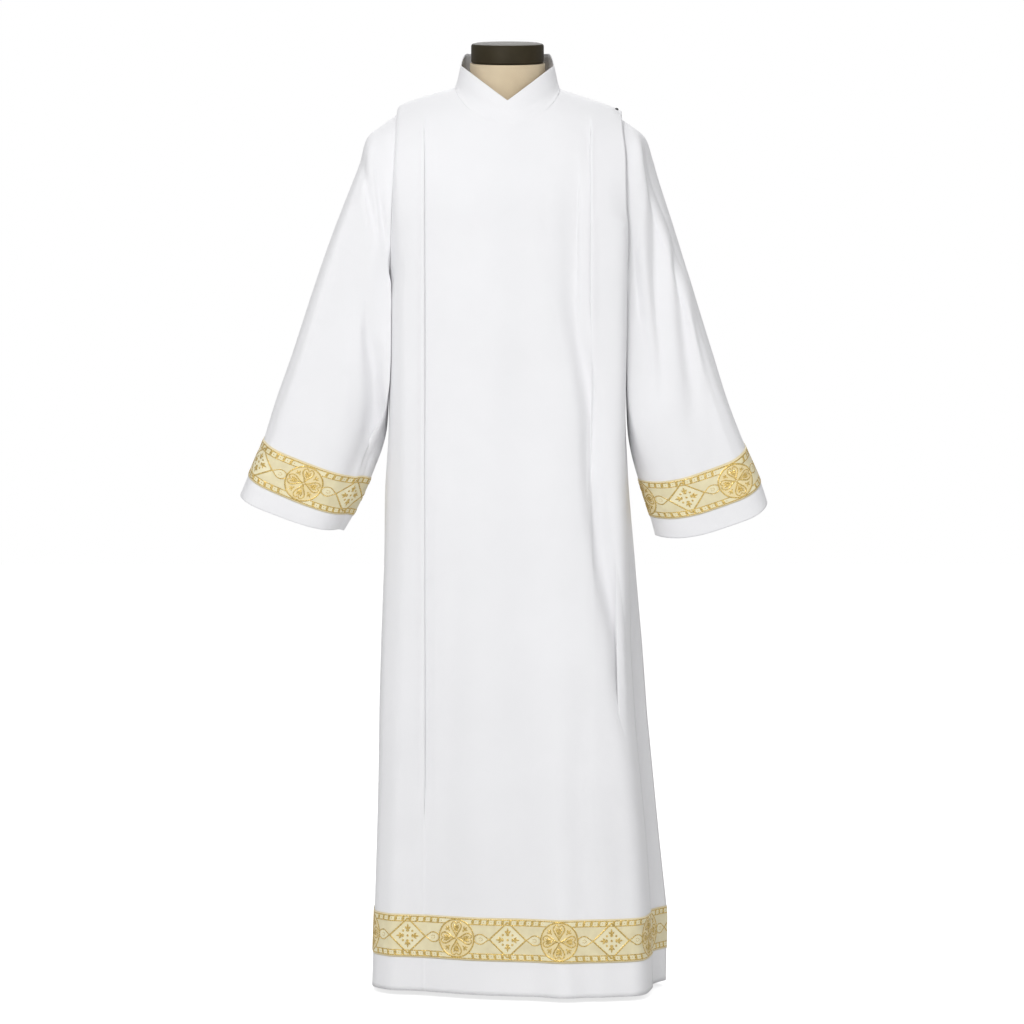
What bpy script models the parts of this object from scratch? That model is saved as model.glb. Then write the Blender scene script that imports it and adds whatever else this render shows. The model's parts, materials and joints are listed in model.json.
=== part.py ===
"""Front-wrap alb on a limbless dress form, modelled in metres with +Z up.

The origin lies on the floor, under the pole. The robe faces -Y. Each cut piece of cloth is a closed
wall worked out from a mid surface: body panels hang in columns from the shoulder seams, sleeves and
collar are rings. Left and right are as seen by someone who faces the front of the robe.
"""
import math

import bmesh
import bpy
import numpy as np

# ---- driving dimensions
CLOTH = 0.0012             # wall of the cloth
TRIM = 0.0006              # wall of the woven band
LIFT = 0.0003              # clearance between a band and the cloth it lies on
SEAM = 0.0005              # half of the gap left at a seam
HEM_Z = 0.008              # height of the hem over the floor
BAND_LOW = 0.060           # lower edge of the hem band
BAND_HIGH = 0.128          # upper edge of the hem band
CHEST_Z = 1.210            # where the cloth starts to hang straight
UNDERARM_Z = 1.085
NECK_X = 0.0825            # half width of the neckline
NECK_FRONT = 0.075         # how far the neckline reaches forward
NECK_BACK = 0.070          # and backward
SHOULDER_NECK_Z = 1.426    # shoulder line where it meets the neck
SHOULDER_NECK_X = 0.075
SHOULDER_SLOPE = 0.34
LEFT_SLOPE = 0.305         # the left shoulder sits a little higher
LEFT_RISE = 0.0025         # also at the neck
SHOULDER_EASE = 0.03       # rounds the shoulder line off inside the neck
TIP_X = 0.174              # shoulder tip
SHOULDER_POWER = 1.8       # roundness of the shoulder, 2 is an ellipse
ARMHOLE_TOP_Z = 1.3820
ARMHOLE_HALF_DEPTH = 0.078
ARMHOLE_INSET = 0.0009     # the panels end this far inside the armhole
ARMHOLE_LEAN = 0.0125      # the armhole's foot stands further out than its head
PLEAT_X = 0.130            # both pleats stand this far from the middle
PLEAT_STEP = 0.0016        # distance between two layers of a pleat
UNDER_DROP = 0.0042        # the under front lies this far below the wrap
EDGE_OVERHANG = 0.0085     # the wrap's free edge stands this far in front of the sleeve
EDGE_DROP = 0.004          # and this much lower than the shoulder line at the top
NECK_COLUMNS = 6           # columns in a quarter of the neckline
NECK_REACH = 0.107         # the outermost middle column at the shoulder
SKIRT_REACH = 0.112        # and from where the columns are evenly spread
SPREAD_HEIGHT = 0.2        # the columns spread out over this height below the chest
SHOULDER_RISE = 0.18       # rough height of a shoulder over the chest
CORNER_DEPTH = 0.92        # depth where a side turns, over the depth at the pleat
CORNER_DROP = 0.0015       # the shoulder's outer corner lies this much lower
SIDE_PARTS = 7             # columns from a pleat to an armhole or a side seam
EDGE_PARTS = 6             # columns from the right pleat to the free edge
UNDER_PARTS = 5            # columns from the under front's tuck to the side
RING = 26                  # points around a sleeve
SLEEVE_POWER = 2.2         # roundness of a sleeve's ring

# Rows of a body panel: over the shoulder by turn, 1 on top and 0 at the chest, then by height.
SHOULDER_TURNS = (1.0, 0.88, 0.74, 0.60, 0.44, 0.22)
HEIGHTS = (CHEST_Z, 1.150, UNDERARM_Z, 1.020, 0.950, 0.870, 0.790, 0.700, 0.600, 0.500, 0.400,
           0.300, 0.210, BAND_HIGH, (BAND_HIGH + BAND_LOW) / 2, BAND_LOW, HEM_Z)
BAND_ROWS = slice(-4, -1)  # the rows under a hem band

WHITE = (0.90, 0.90, 0.92)
GOLD = (0.72, 0.56, 0.24)
LINEN = (0.70, 0.60, 0.45)
BROWN = (0.045, 0.036, 0.022)
ENAMEL = (0.80, 0.80, 0.80)
SNAP = (0.10, 0.10, 0.10)


def table(names, *rows):
    """A size table: the named columns of the rows."""
    return {name: np.array(column) for name, column in zip(names.split(), zip(*rows))}


# Half widths and depths of the robe by height. left and right are the sides, corner is where the
# left side turns, edge is the wrap's free edge, front and back are depths at pleats and middle.
BODY = table(
    "z      left   right  corner edge   edge_y front_l front  front_r back   back_p",
    (1.358, 0.186, 0.186, 0.1740, 0.180, 0.086, 0.104, 0.114, 0.104, 0.111, 0.103),
    (1.326, 0.186, 0.186, 0.1740, 0.185, 0.086, 0.105, 0.115, 0.105, 0.112, 0.104),
    (1.239, 0.186, 0.186, 0.1740, 0.186, 0.086, 0.106, 0.116, 0.106, 0.112, 0.104),
    (1.198, 0.186, 0.186, 0.1710, 0.189, 0.086, 0.106, 0.116, 0.106, 0.112, 0.104),
    (1.102, 0.187, 0.186, 0.1640, 0.186, 0.085, 0.107, 0.118, 0.108, 0.110, 0.102),
    (0.988, 0.187, 0.186, 0.1620, 0.185, 0.084, 0.108, 0.119, 0.110, 0.108, 0.100),
    (0.877, 0.188, 0.187, 0.1620, 0.184, 0.082, 0.109, 0.123, 0.115, 0.115, 0.106),
    (0.788, 0.194, 0.192, 0.1630, 0.186, 0.080, 0.109, 0.127, 0.119, 0.122, 0.112),
    (0.700, 0.195, 0.200, 0.1640, 0.190, 0.079, 0.109, 0.131, 0.128, 0.129, 0.117),
    (0.550, 0.200, 0.213, 0.1670, 0.195, 0.078, 0.108, 0.137, 0.139, 0.141, 0.126),
    (0.437, 0.203, 0.221, 0.1700, 0.201, 0.077, 0.108, 0.142, 0.146, 0.150, 0.133),
    (0.340, 0.205, 0.231, 0.1740, 0.209, 0.076, 0.107, 0.147, 0.153, 0.158, 0.140),
    (0.230, 0.208, 0.242, 0.1780, 0.219, 0.075, 0.106, 0.151, 0.160, 0.167, 0.146),
    (0.119, 0.211, 0.254, 0.1820, 0.226, 0.074, 0.109, 0.155, 0.168, 0.175, 0.152),
    (0.008, 0.214, 0.252, 0.1840, 0.229, 0.072, 0.111, 0.159, 0.174, 0.180, 0.156))

# Soft folds: a straight or bent valley (depth above 0) or ridge (below 0) in a panel, by height.
FRONT_FOLDS = (
    table("z x width depth",
          (1.264, 0.102, 0.016, 0.000), (1.138, 0.106, 0.016, 0.004), (0.915, 0.1135, 0.018, 0.007),
          (0.738, 0.137, 0.020, 0.009), (0.613, 0.152, 0.020, 0.010), (0.550, 0.160, 0.018, 0.009),
          (0.464, 0.180, 0.016, 0.007), (0.392, 0.192, 0.014, 0.003), (0.318, 0.200, 0.014, 0.000)),
    table("z x width depth",
          (0.768, -0.035, 0.030, 0.000), (0.488, -0.045, 0.032, -0.002), (0.008, -0.055, 0.036, -0.003)),
    table("z x width depth",
          (0.608, 0.082, 0.028, 0.000), (0.338, 0.085, 0.030, -0.005), (0.008, 0.088, 0.034, -0.010)))
BACK_FOLDS = (
    table("z x width depth",
          (1.168, -0.060, 0.022, 0.000), (0.788, -0.066, 0.026, 0.007), (0.008, -0.078, 0.032, 0.013)),
    table("z x width depth",
          (1.068, 0.020, 0.022, 0.000), (0.688, 0.012, 0.028, -0.006), (0.008, 0.004, 0.034, -0.012)),
    table("z x width depth",
          (1.138, 0.075, 0.020, 0.000), (0.748, 0.080, 0.024, 0.008), (0.008, 0.092, 0.032, 0.014)))

# How far a pleat is folded over (lap) and how high its outer strip stands (step), by height.
LEFT_PLEAT = table("z lap step", (1.388, 0.0, 0.0), (1.360, 0.0, 1.0), (1.333, 1.0, 1.0),
                   (0.348, 1.0, 1.0), (0.238, 0.0, 1.0), (0.008, 0.0, 1.0))
RIGHT_PLEAT = table("z lap step", (1.388, 0.0, 0.0), (1.360, 0.0, 1.0), (1.333, 1.0, 1.0),
                    (1.078, 1.0, 1.0), (1.018, 0.0, 1.0), (0.888, 0.0, 0.0), (0.008, 0.0, 0.0))
BACK_PLEAT = table("z lap step", (1.388, 0.0, 0.0), (1.360, 0.0, 1.0), (1.333, 1.0, 1.0),
                   (0.348, 1.0, 1.0), (0.238, 0.0, 1.0), (0.008, 0.0, 1.0))

# The six mid points of a pleat's section: along the panel and out of it, folded and opened, in
# steps of PLEAT_STEP.
PLEAT_SECTION = table("along out along_open out_open",
                      (2.50, 0.00, -3.75, 0.00), (3.20, 0.50, -2.20, 0.22), (2.50, 1.00, -0.70, 0.70),
                      (0.55, 1.00, 0.70, 1.30), (-0.12, 1.50, 2.20, 1.78), (0.55, 2.00, 3.75, 2.00))

# Sleeve rings, shoulder to hem: the outer and the inner edge, half depth, offset and front dip.
LEFT_SLEEVE = table(
    "outer_x outer_z inner_x inner_z depth y dip",
    (0.1757, 1.3820, 0.1885, 1.0850, 0.0777, 0.000, 0.000),
    (0.2000, 1.3640, 0.1889, 1.0720, 0.0780, 0.000, 0.000),
    (0.2215, 1.3450, 0.1893, 1.0580, 0.0790, 0.000, 0.000),
    (0.2330, 1.3060, 0.1901, 1.0380, 0.0800, 0.001, 0.001),
    (0.2457, 1.2727, 0.1902, 1.0150, 0.0800, 0.001, 0.002),
    (0.2739, 1.2008, 0.1904, 0.9750, 0.0790, 0.001, 0.004),
    (0.3073, 1.1055, 0.1908, 0.9250, 0.0750, 0.000, 0.007),
    (0.3390, 1.0102, 0.1930, 0.8850, 0.0700, -0.002, 0.009),
    (0.3668, 0.9308, 0.2035, 0.8420, 0.0650, -0.004, 0.011),
    (0.3845, 0.8732, 0.2160, 0.8101, 0.0610, -0.006, 0.012),
    (0.3970, 0.8443, 0.2300, 0.7800, 0.0590, -0.007, 0.012),
    (0.4095, 0.8154, 0.2455, 0.7498, 0.0575, -0.008, 0.012),
    (0.4225, 0.7844, 0.2595, 0.7260, 0.0560, -0.009, 0.012))
RIGHT_SLEEVE = table(
    "outer_x outer_z inner_x inner_z depth y dip",
    (0.1757, 1.3780, 0.1881, 1.0850, 0.0777, 0.000, 0.000),
    (0.1985, 1.3630, 0.1886, 1.0720, 0.0770, 0.001, 0.000),
    (0.2180, 1.3450, 0.1891, 1.0580, 0.0770, 0.002, 0.000),
    (0.2290, 1.3120, 0.1896, 1.0380, 0.0780, 0.002, 0.001),
    (0.2400, 1.2740, 0.1898, 1.0150, 0.0780, 0.002, 0.002),
    (0.2644, 1.2008, 0.1900, 0.9750, 0.0770, 0.001, 0.004),
    (0.2946, 1.1055, 0.1904, 0.9250, 0.0740, 0.000, 0.008),
    (0.3240, 1.0102, 0.1920, 0.8800, 0.0700, -0.002, 0.013),
    (0.3485, 0.9308, 0.1995, 0.8344, 0.0660, -0.004, 0.017),
    (0.3750, 0.8619, 0.2070, 0.8080, 0.0620, -0.006, 0.019),
    (0.3875, 0.8335, 0.2165, 0.7790, 0.0600, -0.007, 0.020),
    (0.3998, 0.8050, 0.2262, 0.7491, 0.0585, -0.008, 0.020),
    (0.4105, 0.7733, 0.2345, 0.7190, 0.0570, -0.009, 0.020))
BAND_RINGS = slice(9, 12)  # the sleeve rings under a cuff band

# Soft folds of a sleeve: centre angle from the outer edge over the front, in degrees, its half
# width, its depth, and the first and last ring that it runs over.
LEFT_SLEEVE_FOLDS = table("angle width depth first last",
                          (62, 14, 0.006, 3, 8), (128, 13, 0.010, 5, 11), (98, 12, -0.004, 4, 9),
                          (232, 15, 0.008, 3, 10), (290, 15, 0.006, 5, 11))
RIGHT_SLEEVE_FOLDS = table("angle width depth first last",
                           (112, 14, 0.010, 1, 7), (70, 14, 0.006, 5, 10), (140, 12, -0.004, 3, 9),
                           (240, 15, 0.008, 2, 9), (285, 15, 0.007, 5, 11))

# Rings of the form's body: half width, half depth, power of the section, forward lean of the ring.
FORM = table(
    "z      half   depth  power lean",
    (0.7230, 0.140, 0.084, 2.3, 0.0), (0.7330, 0.153, 0.095, 2.3, 0.0), (0.7880, 0.160, 0.101, 2.3, 0.0),
    (0.8680, 0.158, 0.099, 2.3, 0.0), (0.9680, 0.146, 0.090, 2.3, 0.0), (1.0680, 0.151, 0.093, 2.3, 0.0),
    (1.1680, 0.158, 0.095, 2.3, 0.0), (1.2380, 0.161, 0.093, 2.3, 0.0), (1.2980, 0.162, 0.086, 2.2, 0.0),
    (1.3480, 0.160, 0.076, 1.9, 0.0), (1.3780, 0.155, 0.066, 1.6, 0.0), (1.3940, 0.147, 0.0600, 1.2, 0.0),
    (1.4050, 0.0, 0.0590, 1.00, 0.0), (1.4150, 0.0, 0.0590, 0.92, 0.0), (1.4220, 0.0, 0.0592, 1.00, 0.0),
    (1.4300, 0.0605, 0.0595, 2.0, 0.02), (1.4380, 0.0598, 0.0593, 2.0, 0.05),
    (1.4520, 0.0593, 0.0593, 2.0, 0.09), (1.4640, 0.0593, 0.0593, 2.0, 0.114))
FORM_CLEARANCE = 0.00045   # between the form's shoulders and the cloth on them
FORM_RING = 32
CAP = table("z radius", (1.4648, 0.0560), (1.4668, 0.0575), (1.4915, 0.0575), (1.4945, 0.0560),
            (1.4960, 0.0500))
CAP_LEAN = 0.114
POLE_RADIUS = 0.0125
BASE = table("z radius", (0.0, 0.110), (0.0042, 0.110), (0.0055, 0.108), (0.0062, 0.030),
             (0.0140, 0.022), (0.0150, 0.020))
PART_GAP = 0.0003          # between two hard parts that stand on each other
COLLAR_INSET = 0.0016      # the collar stands this far inside the neckline
COLLAR_RISE = 0.0010       # and this far above it
COLLAR_LEAN = 0.0075       # its top leans in by this much
COLLAR_V_Z = 1.4023        # foot of the V
COLLAR_SIDE_Z = 1.4596     # its top at the sides
COLLAR_BACK_Z = 1.4810     # and at the back
COLLAR_SLIT = 0.5          # degrees left open on each side of the V
COLLAR_LEVELS = (0.0, 0.33, 0.67, 1.0)
COLLAR_LEAN_BACK = 0.4     # share of the lean at the middle of front and back
SNAP_X = 0.168             # the snap head's distance from the middle
SNAP_RADIUS = 0.0030
SNAP_RISE = 0.0018
SNAP_GAP = 0.0009          # its clearance over the cloth, which curves under it
SNAP_SIDES = 16


# ---- helpers
def along(columns, name, key, value):
    """The named column of a table at a value of its key column, by straight lines."""
    order = np.argsort(columns[key])
    return float(np.interp(value, columns[key][order], columns[name][order]))


def smooth(value):
    value = min(max(value, 0.0), 1.0)
    return value * value * (3 - 2 * value)


def body(name, z):
    return along(BODY, name, "z", z)


def power(value, exponent):
    return math.copysign(abs(value) ** exponent, value)


def shoulder_z(x):
    """Height of the shoulder line; it is rounded off inside the neck."""
    soft = math.hypot(x, SHOULDER_EASE) - math.hypot(SHOULDER_NECK_X, SHOULDER_EASE)
    slope = LEFT_SLOPE if x < 0 and soft > 0 else SHOULDER_SLOPE
    return SHOULDER_NECK_Z + LEFT_RISE * smooth(-x / NECK_X) - slope * soft


def material(name, colour, roughness=0.8, metallic=0.0):
    found = bpy.data.materials.get(name)
    if found:
        return found
    made = bpy.data.materials.new(name)
    made.use_nodes = True
    shader = made.node_tree.nodes["Principled BSDF"]
    shader.inputs["Base Color"].default_value = (*colour, 1.0)
    shader.inputs["Roughness"].default_value = roughness
    shader.inputs["Metallic"].default_value = metallic
    return made


def add_object(name, points, faces, finish):
    """A node from points and faces, shaded smooth over its soft edges."""
    mesh = bpy.data.meshes.new(name)
    mesh.from_pydata([tuple(point) for point in points], [], faces)
    mesh.materials.append(finish)
    made = bmesh.new()
    made.from_mesh(mesh)
    bmesh.ops.recalc_face_normals(made, faces=made.faces)
    made.to_mesh(mesh)
    made.free()
    mesh.shade_smooth()
    mesh.set_sharp_from_angle(angle=math.radians(40))
    bpy.context.scene.collection.objects.link(bpy.data.objects.new(name, mesh))


def grid_normals(grid, closed):
    """Unit normals of a grid of points whose rows go down and whose columns go left to right."""
    down = np.gradient(grid, axis=0)
    if closed:
        across = np.roll(grid, -1, axis=1) - np.roll(grid, 1, axis=1)
    else:
        across = np.gradient(grid, axis=1)
    normals = np.cross(down, across)
    return normals / np.linalg.norm(normals, axis=2, keepdims=True)


def wall(name, grid, finish, thickness=CLOTH, closed=False, offset=0.0, part=slice(None)):
    """A closed wall over some rows of a grid of mid points; closed joins the last column to the first."""
    normals = grid_normals(grid, closed)[part]
    grid = grid[part]
    rows, columns = grid.shape[:2]
    outer = grid + normals * (offset + thickness / 2)
    inner = grid + normals * (offset - thickness / 2)
    points = np.concatenate((outer.reshape(-1, 3), inner.reshape(-1, 3)))
    half = rows * columns
    faces = []
    for row in range(rows - 1):
        for column in range(columns if closed else columns - 1):
            right = (column + 1) % columns
            a, b = row * columns + column, row * columns + right
            c, d = b + columns, a + columns
            faces += [(a, b, c), (a, c, d)]
            faces += [(half + a, half + c, half + b), (half + a, half + d, half + c)]
    rims = [list(range(columns)), list(range(half - columns, half))]
    if closed:
        rims = [rim + rim[:1] for rim in rims]
    else:
        rims.append([row * columns for row in range(rows)])
        rims.append([row * columns + columns - 1 for row in range(rows)])
    for rim in rims:
        for a, b in zip(rim, rim[1:]):
            faces.append((a, b, half + b, half + a))
    add_object(name, points, faces, finish)


def turned(name, rings, finish):
    """A solid through rings of points, closed by a fan at each end."""
    count = len(rings[0])
    points = [point for ring in rings for point in ring]
    faces = [tuple(range(count)), tuple(range(len(points) - count, len(points)))]
    for row in range(len(rings) - 1):
        for column in range(count):
            a, b = row * count + column, row * count + (column + 1) % count
            faces.append((a, b, b + count, a + count))
    add_object(name, points, faces, finish)


# ---- body panels
def armhole_edge(side, z):
    """The armhole's x and half depth at a height; its foot stands further out than its head."""
    middle = (ARMHOLE_TOP_Z + UNDERARM_Z) / 2
    half = (ARMHOLE_TOP_Z - UNDERARM_Z) / 2
    level = min(max((z - middle) / half, -1.0), 1.0)
    x = TIP_X + 0.0005 + ARMHOLE_LEAN * (1 - level) / 2
    return side * x, ARMHOLE_HALF_DEPTH * math.sqrt(1 - level * level)


def hang(x, depth, turn):
    """Point of a hanging column: turn is 1 on the shoulder line, 0 at the chest and below."""
    angle = turn * math.pi / 2
    top = shoulder_z(x)
    y = depth * power(math.cos(angle), 2 / SHOULDER_POWER)
    z = CHEST_Z + (top - CHEST_Z) * power(math.sin(angle), 2 / SHOULDER_POWER)
    return np.array((x, y, z))


def rows_of_body():
    """(turn, z) of each row: over the shoulder by turn, then down by height."""
    over = [(turn, None) for turn in SHOULDER_TURNS]
    return over + [(0.0, z) for z in HEIGHTS]


def row_turn(turn, x, reach, neck):
    """The turn of a row at x: inside the neckline a column starts lower, on the neck's ellipse."""
    if abs(x) >= NECK_X * 0.9999:
        return turn
    start = neck * math.sqrt(1 - (x / NECK_X) ** 2)
    first = math.acos(min((start / reach) ** (SHOULDER_POWER / 2), 1.0)) / (math.pi / 2)
    return turn * first


def centre_columns(spread):
    """x of the columns between the pleats: on the neckline's angles, or evenly spread."""
    angles = [math.pi / 2 * step / NECK_COLUMNS for step in range(-NECK_COLUMNS, NECK_COLUMNS + 1)]
    tight = [NECK_X * math.sin(angle) for angle in angles]
    tight = [-NECK_REACH] + tight + [NECK_REACH]
    even = [SKIRT_REACH * (2 * step / (len(tight) - 1) - 1) for step in range(len(tight))]
    return [a + (b - a) * spread for a, b in zip(tight, even)]


def fold_depth(folds, x, z):
    """Sum of the soft folds at a point of a panel."""
    total = 0.0
    for fold in folds:
        if fold["z"].min() <= z <= fold["z"].max():
            away = (x - along(fold, "x", "z", z)) / along(fold, "width", "z", z)
            total += along(fold, "depth", "z", z) * math.exp(-away * away)
    return total


def panel_depth(side, x, z):
    """Depth of the front (side -1) or the back (side 1) between the pleats."""
    if side < 0:
        left, middle, right = body("front_l", z), body("front", z), body("front_r", z)
    else:
        left, middle, right = body("back_p", z), body("back", z), body("back_p", z)
    ratio = x / PLEAT_X
    lean = (right - left) / 2 * ratio
    return middle + lean - (middle - (left + right) / 2) * ratio * ratio


def panel_point(side, x, turn, z, folds):
    """Mid point of a panel between its pleats, without the pleats."""
    neck = NECK_FRONT if side < 0 else NECK_BACK
    depth = panel_depth(side, x, z if z else CHEST_Z)
    point = hang(x, depth, row_turn(turn, x, depth, neck))
    if z:
        point[2] = z
        point[1] = depth
    point[1] = max(point[1], SEAM) - fold_depth(folds, x, point[2])
    point[1] = max(point[1], SEAM)
    return point * np.array((1, side, 1))


def outward(side, turn):
    """Rough direction out of a panel in a row."""
    angle = turn * math.pi / 2
    return np.array((0.0, side * math.cos(angle), math.sin(angle)))


def pleat_points(side, hand, turn, z, folds, state):
    """The six points of a pleat, from the middle outwards; hand is -1 at the left."""
    base = panel_point(side, hand * PLEAT_X, turn, z, folds)
    lap = smooth(along(state, "lap", "z", base[2]))
    step = smooth(along(state, "step", "z", base[2]))
    out = outward(side, turn)
    slope = (panel_point(side, hand * (PLEAT_X + 0.01), turn, z, folds) - base) / 0.01
    points = []
    for index in range(len(PLEAT_SECTION["along"])):
        shift = PLEAT_SECTION["along"][index] * lap + PLEAT_SECTION["along_open"][index] * (1 - lap)
        rise = PLEAT_SECTION["out"][index] * lap + PLEAT_SECTION["out_open"][index] * (1 - lap)
        if step == 0.0 or lap == 0.0:
            rise *= step
        points.append(base + slope * shift * PLEAT_STEP + out * rise * PLEAT_STEP)
    return points


def bend(start, corner, end, parts):
    """Points after start along a curve that is drawn to a corner, the last one on end."""
    points = []
    for step in range(1, parts + 1):
        t = step / parts
        points.append(start * (1 - t) ** 3 + corner * (3 * (1 - t) ** 2 * t + 3 * (1 - t) * t * t)
                      + end * t ** 3)
    return points


def side_end(side, hand, turn, z):
    """Last point of a panel at its armhole or its side seam."""
    if z and z <= UNDERARM_Z:
        return np.array((hand * body("left" if hand < 0 else "right", z), side * SEAM, z))
    if z is None:
        z = CHEST_Z + (ARMHOLE_TOP_Z - LIFT - CHEST_Z) * power(math.sin(turn * math.pi / 2),
                                                              2 / SHOULDER_POWER)
    x, depth = armhole_edge(hand, z)
    return np.array((x - hand * ARMHOLE_INSET, side * max(depth, SEAM), z))


def side_corner(side, hand, turn, z):
    """The corner that a panel's outer strip is drawn to."""
    if z is None:
        x = hand * TIP_X
        depth = panel_depth(side, hand * PLEAT_X, CHEST_Z) * CORNER_DEPTH
        point = hang(x, depth, turn)
        point[1] = max(point[1], SEAM)
        return point * np.array((1, side, 1)) - np.array((0, 0, CORNER_DROP))
    depth = abs(panel_point(side, hand * PLEAT_X, 0.0, z, ())[1]) * CORNER_DEPTH
    return np.array((hand * body("corner", z), side * depth, z))


def free_edge(turn, z):
    """The wrap's free edge at the right; it overhangs the armhole seam."""
    if z is None:
        z = side_corner(-1, 1, turn, None)[2] - EDGE_DROP * turn
        x = max(body("edge", z), TIP_X + CLOTH)
        depth = min(armhole_edge(1, z)[1] + EDGE_OVERHANG, body("edge_y", z))
        return np.array((x, -depth if turn < 1 else -SEAM, z))
    return np.array((body("edge", z), -body("edge_y", z), z))


def front_row(turn, z):
    """Mid points of the wrap front across one row, from the left side seam to the free edge."""
    height = z if z else CHEST_Z + SHOULDER_RISE * turn
    spread = smooth((CHEST_Z - height) / SPREAD_HEIGHT)
    centre = [panel_point(-1, x, turn, z, FRONT_FOLDS) for x in centre_columns(spread)]
    left = pleat_points(-1, -1, turn, z, FRONT_FOLDS, LEFT_PLEAT)
    right = pleat_points(-1, 1, turn, z, FRONT_FOLDS, RIGHT_PLEAT)
    left_strip = bend(left[-1], side_corner(-1, -1, turn, z), side_end(-1, -1, turn, z),
                      SIDE_PARTS)
    edge = free_edge(turn, z)
    if z is None:
        corner = side_corner(-1, 1, turn, None)
        corner = corner * 0.7 + right[-1] * 0.3 + outward(-1, turn) * 0.001
    else:
        corner = right[-1] * 0.4 + edge * 0.6
        corner[1] = right[-1][1] * 0.95
    right_strip = bend(right[-1], corner, edge, EDGE_PARTS)
    for point in right_strip[:-1]:
        point[1] += fold_depth(FRONT_FOLDS, point[0], point[2]) * smooth((edge[0] - point[0]) / 0.02)
    row = left_strip[::-1] + left[::-1] + centre + right + right_strip
    return np.array(row)


def back_row(turn, z):
    """Mid points of the back across one row, from the right side seam to the left one."""
    height = z if z else CHEST_Z + SHOULDER_RISE * turn
    spread = smooth((CHEST_Z - height) / SPREAD_HEIGHT)
    centre = [panel_point(1, x, turn, z, BACK_FOLDS) for x in centre_columns(spread)]
    left = pleat_points(1, -1, turn, z, BACK_FOLDS, BACK_PLEAT)
    right = pleat_points(1, 1, turn, z, BACK_FOLDS, BACK_PLEAT)
    left_strip = bend(left[-1], side_corner(1, -1, turn, z), side_end(1, -1, turn, z),
                      SIDE_PARTS)
    right_strip = bend(right[-1], side_corner(1, 1, turn, z), side_end(1, 1, turn, z),
                       SIDE_PARTS)
    row = left_strip[::-1] + left[::-1] + centre + right + right_strip
    return np.array(row[::-1])


def under_grid(wrap, rows):
    """Mid points of the under front: tucked below the wrap's strip, then out to armhole and side."""
    normals = grid_normals(wrap, False)
    grid = []
    for index, (turn, z) in enumerate(rows):
        below = slice(-5, None) if z and z < UNDERARM_Z else slice(-6, -1)
        tucked = wrap[index, below] - normals[index, below] * UNDER_DROP
        tucked[:, 1] = np.minimum(tucked[:, 1], -SEAM)
        start = tucked[-1]
        end = side_end(-1, 1, turn, z)
        if z and z < UNDERARM_Z:
            heading = tucked[-1] - tucked[-2]
            reach = np.linalg.norm(end - start) * 0.45 / np.linalg.norm(heading)
            corner = start + heading * reach
            corner[0] = min(corner[0], end[0] - 0.002)
        else:
            corner = start * np.array((0.3, 0.75, 0.5)) + end * np.array((0.7, 0.25, 0.5))
        grid.append(list(tucked) + bend(start, corner, end, UNDER_PARTS))
    return np.array(grid)


def panels():
    """The grids of the three body panels, top row first."""
    rows = rows_of_body()
    front = np.array([front_row(turn, z) for turn, z in rows])
    back = np.array([back_row(turn, z) for turn, z in rows])
    under = under_grid(front, rows)
    return front, back, under


def build_body(cloth, gold):
    offset = CLOTH / 2 + LIFT + TRIM / 2
    for name, grid in zip(("wrap_front", "back", "under_front"), panels()):
        wall(name, grid, cloth)
        wall("hem_band_" + name.split("_")[0], grid, gold, TRIM, offset=offset, part=BAND_ROWS)


# ---- sleeves
def sleeve_fold(folds, angle, row):
    total = 0.0
    for index in range(len(folds["angle"])):
        first, last = folds["first"][index], folds["last"][index]
        if first < row < last:
            fade = math.sin(math.pi * (row - first) / (last - first))
            away = (angle - folds["angle"][index]) / folds["width"][index]
            total += folds["depth"][index] * fade * math.exp(-away * away)
    return total


def sleeve_grid(hand, sizes, folds):
    """Rings of a sleeve from the armhole to its hem; angle 0 is the outer edge, 90 the front."""
    grid = []
    for row in range(len(sizes["depth"])):
        outer = np.array((hand * sizes["outer_x"][row], 0, sizes["outer_z"][row]))
        inner = np.array((hand * sizes["inner_x"][row], 0, sizes["inner_z"][row]))
        centre, half = (outer + inner) / 2, (outer - inner) / 2
        ring = []
        for step in range(RING):
            angle = 2 * math.pi * step / RING
            depth = sizes["depth"][row] - sleeve_fold(folds, math.degrees(angle), row)
            front = power(math.sin(angle), 2 / SLEEVE_POWER)
            point = centre + half * power(math.cos(angle), 2 / SLEEVE_POWER)
            drop = sizes["dip"][row] * front * abs(front)
            point = point + np.array((0, sizes["y"][row] - depth * front, -drop))
            ring.append(point)
        grid.append(ring if hand > 0 else ring[::-1])
    return np.array(grid)[:, ::-1]


def build_sleeves(cloth, gold):
    offset = CLOTH / 2 + LIFT + TRIM / 2
    for name, hand, sizes, folds in (("left", -1, LEFT_SLEEVE, LEFT_SLEEVE_FOLDS),
                                     ("right", 1, RIGHT_SLEEVE, RIGHT_SLEEVE_FOLDS)):
        grid = sleeve_grid(hand, sizes, folds)
        wall("sleeve_" + name, grid, cloth, closed=True)
        wall("cuff_band_" + name, grid, gold, TRIM, closed=True, offset=offset, part=BAND_RINGS)


# ---- collar
def neckline_point(angle):
    """Point of the neckline: angle 0 is the middle of the front, in radians."""
    x = NECK_X * math.sin(angle)
    side = -1 if math.cos(angle) > 0 else 1
    return panel_point(side, x, 1.0, None, ())


def collar_top(angle):
    if math.cos(angle) > 0:
        return COLLAR_V_Z + (COLLAR_SIDE_Z - COLLAR_V_Z) * abs(math.sin(angle))
    return COLLAR_SIDE_Z + (COLLAR_BACK_Z - COLLAR_SIDE_Z) * smooth(-math.cos(angle) * 2)


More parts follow.
